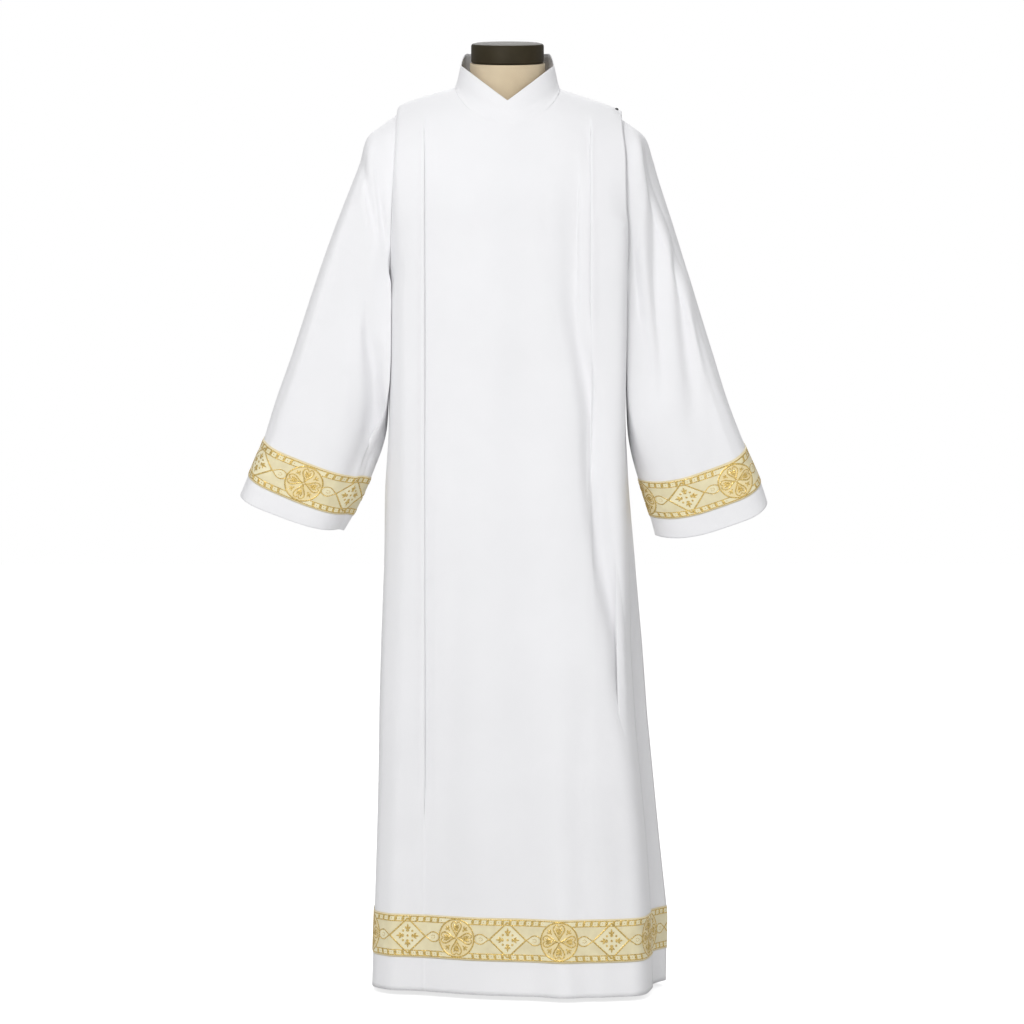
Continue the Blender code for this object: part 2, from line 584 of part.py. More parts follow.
def collar_grid():
    steps = 4 * NECK_COLUMNS
    angles = [math.radians(COLLAR_SLIT)]
    angles += [2 * math.pi * step / steps for step in range(1, steps)]
    angles += [2 * math.pi - math.radians(COLLAR_SLIT)]
    grid = []
    for level in COLLAR_LEVELS:
        ring = []
        for angle in angles:
            foot = neckline_point(angle)
            away = np.array((math.sin(angle), -math.cos(angle), 0))
            foot = foot - away * COLLAR_INSET + np.array((0, 0, COLLAR_RISE))
            z = foot[2] + (collar_top(angle) - foot[2]) * level
            share = COLLAR_LEAN_BACK + (1 - COLLAR_LEAN_BACK) * abs(math.sin(angle))
            lean = COLLAR_LEAN * level * share
            ring.append(np.array((foot[0], foot[1], z)) - away * lean)
        grid.append(ring)
    return np.array(grid)[::-1]


# ---- form and stand
def form_rings():
    rings = []
    for index, z in enumerate(FORM["z"]):
        half = FORM["half"][index]
        if half == 0.0:
            rise = SHOULDER_NECK_Z - CLOTH / 2 - FORM_CLEARANCE - z
            soft = math.hypot(SHOULDER_NECK_X, SHOULDER_EASE) + rise / SHOULDER_SLOPE
            half = math.sqrt(soft * soft - SHOULDER_EASE ** 2)
        ring = []
        for step in range(FORM_RING):
            angle = 2 * math.pi * step / FORM_RING
            exponent = 2 / FORM["power"][index]
            x = half * power(math.cos(angle), exponent)
            y = FORM["depth"][index] * power(math.sin(angle), exponent)
            ring.append((x, y, z + FORM["lean"][index] * y))
        rings.append(ring)
    return rings


def round_rings(profile, lean=0.0, sides=40):
    rings = []
    for z, radius in zip(profile["z"], profile["radius"]):
        angles = [2 * math.pi * step / sides for step in range(sides)]
        rings.append([(radius * math.cos(a), radius * math.sin(a), z + lean * radius * math.sin(a))
                      for a in angles])
    return rings


def build_form():
    turned("form_body", form_rings(), material("form_linen", LINEN, 0.9))
    turned("form_cap", round_rings(CAP, CAP_LEAN), material("form_cap_lacquer", BROWN, 0.35))
    enamel = material("stand_enamel", ENAMEL, 0.4)
    low = BASE["z"][-1] + PART_GAP
    high = FORM["z"][0] - PART_GAP
    pole = table("z radius", (low, POLE_RADIUS), (high, POLE_RADIUS))
    turned("stand_pole", round_rings(pole, sides=24), enamel)
    turned("stand_base", round_rings(BASE, sides=48), enamel)


# ---- shoulder snap
def build_snap(wrap):
    """A small snap head on the wrap's shoulder corner."""
    column = np.argmin(np.abs(wrap[1, :, 0] - SNAP_X))
    foot = wrap[1, column]
    normal = grid_normals(wrap, False)[1, column]
    side = np.cross(normal, (0, 1, 0))
    side /= np.linalg.norm(side)
    other = np.cross(normal, side)
    rings = []
    for height, radius in ((0.0, SNAP_RADIUS), (0.6, SNAP_RADIUS), (1.0, SNAP_RADIUS * 0.6)):
        lift = CLOTH / 2 + SNAP_GAP + height * SNAP_RISE
        angles = [2 * math.pi * step / SNAP_SIDES for step in range(SNAP_SIDES)]
        rings.append([foot + normal * lift + side * radius * math.cos(a) + other * radius * math.sin(a)
                      for a in angles])
    turned("shoulder_snap", rings, material("snap_metal", SNAP, 0.3, 1.0))


def clear_scene():
    for old in list(bpy.data.objects):
        bpy.data.objects.remove(old, do_unlink=True)


def main():
    clear_scene()
    cloth = material("alb_cloth", WHITE, 0.85)
    gold = material("galloon", GOLD, 0.45, 0.3)
    build_body(cloth, gold)
    build_sleeves(cloth, gold)
    wall("collar", collar_grid(), cloth)
    build_snap(panels()[0])
    build_form()


main()
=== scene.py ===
"""Looks of an alb with galloon bands, worn by a limbless dress form.

Metres, +Z up, the robe faces -Y; left and right are as seen by someone who faces its front. The cloth
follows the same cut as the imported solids, in finer rows and with its creases, hems and stitches.
"""
import json
import math

import bmesh
import bpy
import numpy as np
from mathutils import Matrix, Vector, noise

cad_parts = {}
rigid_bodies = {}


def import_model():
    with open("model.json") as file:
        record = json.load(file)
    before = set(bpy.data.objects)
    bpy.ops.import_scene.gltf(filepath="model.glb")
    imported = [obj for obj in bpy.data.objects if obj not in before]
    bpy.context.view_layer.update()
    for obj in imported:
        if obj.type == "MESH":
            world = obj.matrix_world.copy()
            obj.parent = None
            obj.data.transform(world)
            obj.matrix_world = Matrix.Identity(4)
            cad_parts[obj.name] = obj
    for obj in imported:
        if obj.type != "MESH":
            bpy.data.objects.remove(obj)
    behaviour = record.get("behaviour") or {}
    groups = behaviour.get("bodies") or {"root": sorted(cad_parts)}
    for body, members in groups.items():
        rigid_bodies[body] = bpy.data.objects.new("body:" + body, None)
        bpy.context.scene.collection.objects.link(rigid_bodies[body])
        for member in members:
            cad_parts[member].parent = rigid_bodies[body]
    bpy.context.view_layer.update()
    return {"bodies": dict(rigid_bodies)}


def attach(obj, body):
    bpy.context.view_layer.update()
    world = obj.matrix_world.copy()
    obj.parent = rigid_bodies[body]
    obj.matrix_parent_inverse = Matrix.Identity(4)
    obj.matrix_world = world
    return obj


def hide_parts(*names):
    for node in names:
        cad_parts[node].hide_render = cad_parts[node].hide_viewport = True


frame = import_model()
ROOT = next(iter(frame["bodies"]))

# ---- the cut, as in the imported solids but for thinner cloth, closer seams and a hem that stands out
CLOTH = 0.0007             # cloth as seen at an edge
COLLAR_CLOTH = 0.0013
TRIM = 0.0005              # ground of the woven band
LIFT = 0.0004              # clearance between a band and the cloth it lies on
SEAM = 0.00015             # half of the gap left at a seam
HEM_Z = 0.008              # height of the hem over the floor
BAND_LOW = 0.060           # lower edge of the hem band
BAND_HIGH = 0.128          # upper edge of the hem band
CHEST_Z = 1.210            # where the cloth starts to hang straight
UNDERARM_Z = 1.085
NECK_X = 0.0825            # half width of the neckline
NECK_FRONT = 0.075         # how far the neckline reaches forward
NECK_BACK = 0.070          # and backward
SHOULDER_NECK_Z = 1.426    # shoulder line where it meets the neck
SHOULDER_NECK_X = 0.075
SHOULDER_SLOPE = 0.34
LEFT_SLOPE = 0.305         # the left shoulder sits a little higher
LEFT_RISE = 0.0025         # also at the neck
SHOULDER_EASE = 0.03       # rounds the shoulder line off inside the neck
TIP_X = 0.174              # shoulder tip
SHOULDER_POWER = 1.8       # roundness of the shoulder, 2 is an ellipse
ARMHOLE_TOP_Z = 1.3820
ARMHOLE_HALF_DEPTH = 0.078
ARMHOLE_INSET = 0.0002     # the panels end this far inside the armhole
ARMHOLE_LEAN = 0.0125      # the armhole's foot stands further out than its head
PLEAT_X = 0.130            # both pleats stand this far from the middle
PLEAT_STEP = 0.0010        # distance between two layers of a pleat
UNDER_DROP = 0.0042        # the under front lies this far below the wrap
EDGE_OVERHANG = 0.0085     # the wrap's free edge stands this far in front of the sleeve
EDGE_DROP = 0.004          # and this much lower than the shoulder line at the top
EDGE_CORNER = 0.86         # share of the right strip's width that stays in front
EDGE_FORWARD = 0.93        # and its depth there
NECK_COLUMNS = 26          # columns in a quarter of the neckline
NECK_REACH = 0.107         # the outermost middle column at the shoulder
SKIRT_REACH = 0.112        # and from where the columns are evenly spread
SPREAD_TURN = 0.75         # the columns fan out over this share of the shoulder's turn
CORNER_DEPTH = 0.92        # depth where a side turns, over the depth at the pleat
FACET_TOP = 1.16           # below this the left side is turned in two facets
FACET_FADE = 0.07
FACET_IN = 0.0015          # the second edge lies this far inside the side seam
FACET_DEPTH = 0.66         # and at this share of the first one's depth
CORNER_DROP = 0.0015       # the shoulder's outer corner lies this much lower
SIDE_PARTS = 14            # columns from a pleat to an armhole or a side seam
EDGE_PARTS = 12            # columns from the right pleat to the free edge
UNDER_PARTS = 10           # columns from the under front's tuck to the side
RING = 144                 # points around a sleeve
SLEEVE_POWER = 2.2         # roundness of a sleeve's ring
EASE = 0.028               # heights over which a size changes softly
HEM_OUT = 0.07             # the stitched hem stands out at its foot by this share of its depth
TROUGH_EASE = (-0.018, -0.009, 0.0, 0.009, 0.018)
ROW = 0.0085               # distance between two rows of a panel
SPAN = 0.0060              # widest distance between two columns of a panel


def table(names, *rows):
    """A size table: the named columns of the rows."""
    return {name: np.array(column, float) for name, column in zip(names.split(), zip(*rows))}


BODY = table(
    "z      left   right  corner edge   edge_y front_l front  front_r back   back_p",
    (1.358, 0.186, 0.186, 0.1740, 0.180, 0.086, 0.104, 0.114, 0.104, 0.111, 0.103),
    (1.326, 0.186, 0.186, 0.1740, 0.185, 0.086, 0.105, 0.115, 0.105, 0.112, 0.104),
    (1.239, 0.186, 0.186, 0.1740, 0.186, 0.086, 0.106, 0.116, 0.106, 0.112, 0.104),
    (1.198, 0.186, 0.186, 0.1710, 0.189, 0.086, 0.106, 0.116, 0.106, 0.112, 0.104),
    (1.102, 0.187, 0.186, 0.1640, 0.186, 0.085, 0.107, 0.118, 0.108, 0.110, 0.102),
    (0.988, 0.187, 0.186, 0.1620, 0.185, 0.084, 0.108, 0.119, 0.110, 0.108, 0.100),
    (0.877, 0.188, 0.187, 0.1620, 0.184, 0.082, 0.109, 0.123, 0.115, 0.115, 0.106),
    (0.788, 0.194, 0.192, 0.1630, 0.186, 0.080, 0.109, 0.127, 0.119, 0.122, 0.112),
    (0.700, 0.195, 0.200, 0.1640, 0.190, 0.079, 0.109, 0.131, 0.128, 0.129, 0.117),
    (0.550, 0.200, 0.213, 0.1670, 0.195, 0.078, 0.108, 0.137, 0.139, 0.141, 0.126),
    (0.437, 0.203, 0.221, 0.1700, 0.201, 0.077, 0.108, 0.142, 0.146, 0.150, 0.133),
    (0.340, 0.205, 0.231, 0.1740, 0.209, 0.076, 0.107, 0.147, 0.153, 0.158, 0.140),
    (0.230, 0.208, 0.242, 0.1780, 0.219, 0.075, 0.106, 0.151, 0.160, 0.167, 0.146),
    (0.119, 0.211, 0.254, 0.1820, 0.226, 0.074, 0.109, 0.155, 0.168, 0.175, 0.152),
    (0.008, 0.214, 0.252, 0.1840, 0.229, 0.072, 0.111, 0.159, 0.174, 0.180, 0.156))

FRONT_FOLDS = (
    table("z x width depth",
          (1.264, 0.102, 0.016, 0.000), (1.138, 0.108, 0.016, 0.001), (0.915, 0.1185, 0.018, 0.003),
          (0.738, 0.141, 0.020, 0.004), (0.613, 0.154, 0.020, 0.004), (0.550, 0.163, 0.018, 0.004),
          (0.464, 0.180, 0.016, 0.003), (0.392, 0.192, 0.014, 0.001), (0.318, 0.200, 0.014, 0.000)),
    table("z x width depth",
          (0.768, -0.035, 0.030, 0.000), (0.488, -0.045, 0.032, -0.002), (0.008, -0.055, 0.036, -0.003)),
    table("z x width depth",
          (0.608, 0.082, 0.028, 0.000), (0.338, 0.085, 0.030, -0.005), (0.008, 0.088, 0.034, -0.010)))
BACK_FOLDS = (
    table("z x width depth",
          (1.168, -0.060, 0.022, 0.000), (0.788, -0.066, 0.026, 0.007), (0.008, -0.078, 0.032, 0.013)),
    table("z x width depth",
          (1.068, 0.020, 0.022, 0.000), (0.688, 0.012, 0.028, -0.006), (0.008, 0.004, 0.034, -0.012)),
    table("z x width depth",
          (1.138, 0.075, 0.020, 0.000), (0.748, 0.080, 0.024, 0.008), (0.008, 0.092, 0.032, 0.014)))

LEFT_PLEAT = table("z lap step", (1.388, 0.0, 0.0), (1.360, 0.0, 1.0), (1.333, 1.0, 1.0),
                   (0.348, 1.0, 1.0), (0.238, 0.0, 1.0), (0.008, 0.0, 1.0))
RIGHT_PLEAT = table("z lap step", (1.388, 0.0, 0.0), (1.360, 0.0, 1.0), (1.333, 1.0, 1.0),
                    (1.078, 1.0, 1.0), (1.018, 0.0, 1.0), (0.888, 0.0, 0.0), (0.008, 0.0, 0.0))
BACK_PLEAT = table("z lap step", (1.388, 0.0, 0.0), (1.360, 0.0, 1.0), (1.333, 1.0, 1.0),
                   (0.348, 1.0, 1.0), (0.238, 0.0, 1.0), (0.008, 0.0, 1.0))
PLEAT_SECTION = table("along out along_open out_open",
                      (2.50, 0.00, -3.75, 0.00), (3.20, 0.50, -2.20, 0.22), (2.50, 1.00, -0.70, 0.70),
                      (0.55, 1.00, 0.70, 1.30), (-0.12, 1.50, 2.20, 1.78), (0.55, 2.00, 3.75, 2.00))

LEFT_SLEEVE = table(
    "outer_x outer_z inner_x inner_z depth y dip",
    (0.1757, 1.3820, 0.1885, 1.0850, 0.0777, 0.000, 0.000),
    (0.2000, 1.3640, 0.1889, 1.0720, 0.0780, 0.000, 0.000),
    (0.2215, 1.3450, 0.1893, 1.0580, 0.0790, 0.000, 0.000),
    (0.2330, 1.3060, 0.1901, 1.0380, 0.0800, 0.001, 0.001),
    (0.2457, 1.2727, 0.1902, 1.0150, 0.0800, 0.001, 0.002),
    (0.2739, 1.2008, 0.1904, 0.9750, 0.0790, 0.001, 0.004),
    (0.3073, 1.1055, 0.1908, 0.9250, 0.0750, 0.000, 0.007),
    (0.3390, 1.0102, 0.1930, 0.8850, 0.0700, -0.002, 0.009),
    (0.3668, 0.9308, 0.2035, 0.8420, 0.0650, -0.004, 0.011),
    (0.3845, 0.8732, 0.2160, 0.8101, 0.0610, -0.006, 0.012),
    (0.3970, 0.8443, 0.2300, 0.7800, 0.0590, -0.007, 0.012),
    (0.4095, 0.8154, 0.2455, 0.7498, 0.0575, -0.008, 0.012),
    (0.4225, 0.7844, 0.2595, 0.7260, 0.0560, -0.009, 0.012))
RIGHT_SLEEVE = table(
    "outer_x outer_z inner_x inner_z depth y dip",
    (0.1757, 1.3780, 0.1881, 1.0850, 0.0777, 0.000, 0.000),
    (0.1985, 1.3630, 0.1886, 1.0720, 0.0770, 0.001, 0.000),
    (0.2180, 1.3450, 0.1891, 1.0580, 0.0770, 0.002, 0.000),
    (0.2290, 1.3120, 0.1896, 1.0380, 0.0780, 0.002, 0.001),
    (0.2400, 1.2740, 0.1898, 1.0150, 0.0780, 0.002, 0.002),
    (0.2644, 1.2008, 0.1900, 0.9750, 0.0770, 0.001, 0.004),
    (0.2946, 1.1055, 0.1904, 0.9250, 0.0740, 0.000, 0.008),
    (0.3240, 1.0102, 0.1920, 0.8800, 0.0700, -0.002, 0.013),
    (0.3485, 0.9308, 0.1995, 0.8344, 0.0660, -0.004, 0.017),
    (0.3750, 0.8619, 0.2070, 0.8080, 0.0620, -0.006, 0.019),
    (0.3875, 0.8335, 0.2165, 0.7790, 0.0600, -0.007, 0.020),
    (0.3998, 0.8050, 0.2262, 0.7491, 0.0585, -0.008, 0.020),
    (0.4105, 0.7733, 0.2345, 0.7190, 0.0570, -0.009, 0.020))
CUFF_BAND_TOP, CUFF_BAND_FOOT = 9, 11    # rows of a sleeve table that a cuff band runs between
OUTER_POWER = 4.0          # and towards its outer edge, which is flatter
CORNER_ANGLE = 146         # a sleeve lies flat against the body: its inner front corner is squarer
CORNER_SPAN = 24
CORNER_OUT = 0.020
CORNER_ROWS = (-0.4, 0.9, 5.6, 8.4)    # rows between which a sleeve comes up to the body and leaves it
SIDE_GAP = 0.0012          # between a sleeve and the side of the body
HEAD_TUCK = 0.0012         # a sleeve's head is tucked this far under the panels

LEFT_SLEEVE_FOLDS = table("angle width depth first last",
                          (62, 14, 0.006, 3, 8), (128, 13, 0.010, 5, 11), (98, 12, -0.004, 4, 9),
                          (232, 15, 0.008, 3, 10), (290, 15, 0.006, 5, 11))
RIGHT_SLEEVE_FOLDS = table("angle width depth first last",
                           (112, 14, 0.010, 1, 7), (70, 14, 0.006, 5, 10), (140, 12, -0.004, 3, 9),
                           (240, 15, 0.008, 2, 9), (285, 15, 0.007, 5, 11))

COLLAR_INSET = 0.0016      # the collar stands this far inside the neckline
COLLAR_RISE = 0.0010       # and this far above it
COLLAR_LEAN = 0.0075       # its top leans in by this much
COLLAR_V_Z = 1.4023        # foot of the V
COLLAR_SIDE_Z = 1.4596     # its top at the sides
COLLAR_BACK_Z = 1.4810     # and at the back
COLLAR_FILLET = 0.010      # its foot bends out into the panels over this distance
COLLAR_SKIRT_TURN = 0.985  # a row just under the neckline, for the panels' fall there
COLLAR_LEAN_BACK = 0.4     # share of the lean at the middle of front and back

# ---- the main creases of the looks, seen from in front: each table is the way of one crease, how far
# ---- it is spread to its left and right, and how deep it is
FRONT_TROUGHS = (
    table("z x left right depth",
          (1.320, 0.109, 0.034, 0.007, 0.0000), (1.270, 0.109, 0.034, 0.007, 0.0075),
          (1.200, 0.108, 0.032, 0.008, 0.0090), (1.140, 0.106, 0.028, 0.009, 0.0100),
          (1.089, 0.104, 0.022, 0.010, 0.0100), (1.042, 0.110, 0.017, 0.010, 0.0105),
          (0.995, 0.1195, 0.014, 0.010, 0.0120),
          (0.917, 0.130, 0.012, 0.016, 0.0165), (0.808, 0.134, 0.012, 0.016, 0.0150),
          (0.745, 0.1405, 0.012, 0.017, 0.0150), (0.683, 0.149, 0.012, 0.018, 0.0150),
          (0.620, 0.161, 0.012, 0.018, 0.0160), (0.558, 0.173, 0.012, 0.018, 0.0115),
          (0.496, 0.178, 0.014, 0.016, 0.0095), (0.433, 0.188, 0.015, 0.013, 0.0050),
          (0.371, 0.198, 0.014, 0.012, 0.0018), (0.300, 0.207, 0.014, 0.012, 0.0000)),
    table("z x left right depth",
          (1.330, -0.112, 0.010, 0.026, 0.0000), (1.260, -0.112, 0.010, 0.028, 0.0020),
          (0.900, -0.113, 0.010, 0.028, 0.0020), (0.740, -0.112, 0.012, 0.030, 0.0000)))
BACK_TROUGHS = (
    table("z x left right depth",
          (1.260, -0.030, 0.014, 0.020, 0.0000), (1.180, -0.036, 0.014, 0.020, 0.0060),
          (1.000, -0.050, 0.014, 0.020, 0.0095), (0.850, -0.062, 0.015, 0.022, 0.0100),
          (0.700, -0.075, 0.016, 0.022, 0.0080), (0.580, -0.084, 0.016, 0.022, 0.0000)),
    table("z x left right depth",
          (1.100, 0.045, 0.020, 0.014, 0.0000), (0.980, 0.050, 0.020, 0.014, 0.0070),
          (0.800, 0.060, 0.022, 0.014, 0.0100), (0.600, 0.072, 0.022, 0.016, 0.0090),
          (0.420, 0.084, 0.024, 0.016, 0.0055), (0.300, 0.090, 0.024, 0.016, 0.0000)),
    table("z x left right depth",
          (0.700, -0.012, 0.018, 0.016, 0.0000), (0.520, -0.008, 0.018, 0.018, 0.0060),
          (0.360, 0.002, 0.020, 0.018, 0.0070), (0.180, 0.006, 0.022, 0.018, 0.0000)))
LEFT_SLEEVE_TROUGHS = (
    table("z x left right depth",
          (1.315, -0.2060, 0.006, 0.009, 0.0000), (1.275, -0.2020, 0.006, 0.009, 0.0040),
          (1.246, -0.1990, 0.006, 0.008, 0.0064), (1.214, -0.1945, 0.006, 0.007, 0.0085),
          (1.190, -0.1905, 0.006, 0.007, 0.0064), (1.165, -0.1865, 0.006, 0.007, 0.0026),
          (1.140, -0.1840, 0.006, 0.007, 0.0000)),
    table("z x left right depth",
          (1.320, -0.2290, 0.007, 0.010, 0.0000), (1.290, -0.2250, 0.007, 0.010, 0.0044),
          (1.246, -0.2180, 0.007, 0.010, 0.0050), (1.207, -0.2100, 0.007, 0.010, 0.0046),
          (1.175, -0.2050, 0.007, 0.010, 0.0000)),
    table("z x left right depth",
          (1.140, -0.2430, 0.008, 0.012, 0.0000), (1.080, -0.2430, 0.008, 0.012, 0.0028),
          (0.960, -0.2430, 0.008, 0.012, 0.0024), (0.900, -0.2440, 0.008, 0.012, 0.0000)),
    table("z x left right depth",
          (1.130, -0.2260, 0.010, 0.012, 0.0000), (1.042, -0.2195, 0.010, 0.012, 0.0085),
          (0.995, -0.2115, 0.010, 0.011, 0.0140), (0.948, -0.2075, 0.012, 0.010, 0.0190),
          (0.916, -0.2065, 0.014, 0.010, 0.0220), (0.885, -0.2070, 0.017, 0.011, 0.0220),
          (0.854, -0.2110, 0.020, 0.013, 0.0180), (0.826, -0.2190, 0.022, 0.016, 0.0130),
          (0.800, -0.2310, 0.023, 0.020, 0.0090), (0.770, -0.2440, 0.024, 0.024, 0.0070),
          (0.715, -0.2620, 0.026, 0.026, 0.0060)))
RIGHT_SLEEVE_TROUGHS = (
    table("z x left right depth",
          (1.365, 0.2110, 0.009, 0.016, 0.0000), (1.330, 0.2210, 0.010, 0.018, 0.0080),
          (1.294, 0.2290, 0.013, 0.026, 0.0130), (1.231, 0.2340, 0.014, 0.030, 0.0155),
          (1.168, 0.2330, 0.011, 0.028, 0.0170), (1.110, 0.2320, 0.010, 0.023, 0.0150),
          (1.058, 0.2350, 0.010, 0.019, 0.0125), (1.020, 0.2390, 0.010, 0.016, 0.0095),
          (0.971, 0.2420, 0.010, 0.016, 0.0060), (0.915, 0.2450, 0.010, 0.018, 0.0000)),
    table("z x left right depth",
          (1.230, 0.2620, 0.009, 0.012, 0.0000), (1.180, 0.2720, 0.009, 0.012, 0.0060),
          (1.130, 0.2700, 0.009, 0.013, 0.0105), (1.089, 0.2740, 0.009, 0.013, 0.0120),
          (1.042, 0.2790, 0.010, 0.013, 0.0125), (0.995, 0.2850, 0.011, 0.014, 0.0110),
          (0.948, 0.2900, 0.011, 0.016, 0.0070), (0.880, 0.2950, 0.011, 0.016, 0.0000)),
    table("z x left right depth",
          (1.130, 0.2930, 0.010, 0.016, 0.0000), (1.060, 0.3030, 0.010, 0.018, 0.0060),
          (0.960, 0.3180, 0.012, 0.022, 0.0070), (0.880, 0.3300, 0.012, 0.022, 0.0000)))

# ---- the finer creases: from one end to the other, how wide, how deep (ridge below 0)
FRONT_CREASES = table(
    "x0      z0     x1      z1     width  depth",
    (-0.060, 1.300, -0.088, 1.020, 0.016, 0.0016), (0.052, 1.310, 0.080, 1.090, 0.014, 0.0013),
    (-0.020, 1.180, -0.034, 0.860, 0.024, -0.0014), (0.030, 1.150, 0.041, 0.760, 0.026, 0.0017),
    (-0.092, 0.960, -0.097, 0.480, 0.020, 0.0022), (-0.070, 0.700, -0.092, 0.100, 0.024, 0.0030),
    (-0.010, 0.640, -0.016, 0.020, 0.030, 0.0036), (0.034, 0.560, 0.040, 0.008, 0.028, 0.0030),
    (0.062, 0.900, 0.070, 0.440, 0.022, -0.0018), (0.118, 0.520, 0.124, 0.008, 0.022, 0.0034),
    (0.160, 0.330, 0.176, 0.008, 0.020, 0.0034), (-0.148, 0.660, -0.156, 0.008, 0.016, 0.0020),
    (-0.152, 1.180, -0.158, 0.820, 0.014, 0.0016), (0.100, 1.345, 0.118, 1.215, 0.012, 0.0012))
BACK_CREASES = table(
    "x0      z0     x1      z1     width  depth",
    (-0.090, 1.290, -0.072, 1.000, 0.018, 0.0018), (0.086, 1.280, 0.060, 1.020, 0.018, 0.0018),
    (-0.020, 1.100, -0.030, 0.640, 0.024, 0.0026), (0.040, 1.040, 0.046, 0.420, 0.024, 0.0028),
    (-0.110, 0.860, -0.120, 0.120, 0.020, 0.0032), (0.112, 0.800, 0.126, 0.060, 0.020, 0.0034),
    (-0.035, 0.560, -0.040, 0.008, 0.026, 0.0040), (0.050, 0.500, 0.056, 0.008, 0.026, 0.0036),
    (-0.160, 0.760, -0.176, 0.008, 0.018, 0.0026), (0.160, 0.700, 0.190, 0.008, 0.020, 0.0030),
    (-0.150, 1.160, -0.156, 0.860, 0.015, 0.0016), (0.150, 1.180, 0.154, 0.840, 0.015, 0.0016))
# Creases of a sleeve: angle from the outer edge over the front in degrees, and the rows it crosses.
LEFT_SLEEVE_CREASES = table(
    "angle0 row0 angle1 row1 width depth",
    (34, 1.6, 48, 5.0, 9, 0.0010), (40, 5.6, 30, 10.4, 10, 0.0014), (88, 8.0, 96, 12.0, 10, 0.0014),
    (200, 2.0, 214, 7.0, 10, 0.0026), (262, 1.4, 250, 6.4, 10, 0.0024), (318, 3.0, 330, 9.0, 10, 0.0022),
    (205, 6.2, 212, 11.4, 9, 0.0030), (270, 7.4, 262, 12.0, 10, 0.0024), (236, 3.4, 228, 9.4, 8, 0.0036))
RIGHT_SLEEVE_CREASES = table(
    "angle0 row0 angle1 row1 width depth",
    (30, 5.6, 40, 10.0, 10, 0.0014), (118, 7.4, 108, 11.6, 9, 0.0016), (205, 2.4, 216, 7.6, 10, 0.0026),
    (256, 1.2, 268, 6.0, 10, 0.0024), (320, 3.4, 310, 9.0, 10, 0.0022), (276, 7.0, 284, 12.0, 10, 0.0022),
    (232, 3.6, 240, 9.8, 8, 0.0034))


# ---- helpers
def along(columns, name, key, value):
    """The named column of a table at a value of its key column, eased over the table's corners."""
    order = np.argsort(columns[key])
    around = value + EASE * np.array((-0.5, -0.25, 0.0, 0.25, 0.5))
    return float(np.interp(around, columns[key][order], columns[name][order]).mean())


def smooth(value):
    value = min(max(value, 0.0), 1.0)
    return value * value * (3 - 2 * value)


def body(name, z):
    return along(BODY, name, "z", z)


def power(value, exponent):
    return math.copysign(abs(value) ** exponent, value)


def shoulder_z(x):
    """Height of the shoulder line; it is rounded off inside the neck."""
    soft = math.hypot(x, SHOULDER_EASE) - math.hypot(SHOULDER_NECK_X, SHOULDER_EASE)
    slope = LEFT_SLOPE if x < 0 and soft > 0 else SHOULDER_SLOPE
    return SHOULDER_NECK_Z + LEFT_RISE * smooth(-x / NECK_X) - slope * soft


def grid_normals(grid, closed):
    """Unit normals of a grid whose rows go down and whose columns go left to right, from its faces."""
    ring = np.concatenate((grid, grid[:, :1]), axis=1) if closed else grid
    faces = np.cross(ring[1:, :-1] - ring[:-1, 1:], ring[1:, 1:] - ring[:-1, :-1])
    if closed:
        faces = faces + np.roll(faces, 1, axis=1)
    else:
        faces = np.concatenate((faces[:, :1], faces[:, 1:] + faces[:, :-1], faces[:, -1:]), axis=1)
    normals = np.concatenate((faces[:1], faces[1:] + faces[:-1], faces[-1:]))
    return normals / np.maximum(np.linalg.norm(normals, axis=2, keepdims=True), 1e-15)


def finer(grid, span, least):
    """The grid with more columns, on smooth curves; least is the parts of each step between columns."""
    steps = np.linalg.norm(np.diff(grid, axis=1), axis=2)
    steps = np.maximum(steps, 1e-6)
    chords = np.diff(grid, axis=1) / steps[..., None]
    before, after = steps[:, :-1, None], steps[:, 1:, None]
    middle = (chords[:, :-1] * after + chords[:, 1:] * before) / (before + after)
    tangents = np.concatenate((chords[:, :1], middle, chords[:, -1:]), axis=1)
    columns = [grid[:, 0]]
    for index in range(grid.shape[1] - 1):
        count = max(least[index], math.ceil(steps[:, index].mean() / span))
        for part in range(1, count + 1):
            t = part / count
            length = steps[:, index, None]
            columns.append(grid[:, index] * (2 * t ** 3 - 3 * t * t + 1)
                           + tangents[:, index] * length * (t ** 3 - 2 * t * t + t)
                           + grid[:, index + 1] * (3 * t * t - 2 * t ** 3)
                           + tangents[:, index + 1] * length * (t ** 3 - t * t))
    return np.stack(columns, axis=1)


# ---- body panels
def armhole_edge(side, z):
    """The armhole's x and half depth at a height; its foot stands further out than its head."""
    middle = (ARMHOLE_TOP_Z + UNDERARM_Z) / 2
    half = (ARMHOLE_TOP_Z - UNDERARM_Z) / 2
    level = min(max((z - middle) / half, -1.0), 1.0)
    x = TIP_X + 0.0005 + ARMHOLE_LEAN * (1 - level) / 2
    return side * x, ARMHOLE_HALF_DEPTH * math.sqrt(1 - level * level)


def hang(x, depth, turn):
    """Point of a hanging column: turn is 1 on the shoulder line, 0 at the chest and below."""
    angle = turn * math.pi / 2
    top = shoulder_z(x)
    y = depth * power(math.cos(angle), 2 / SHOULDER_POWER)
    z = CHEST_Z + (top - CHEST_Z) * power(math.sin(angle), 2 / SHOULDER_POWER)
    return np.array((x, y, z))


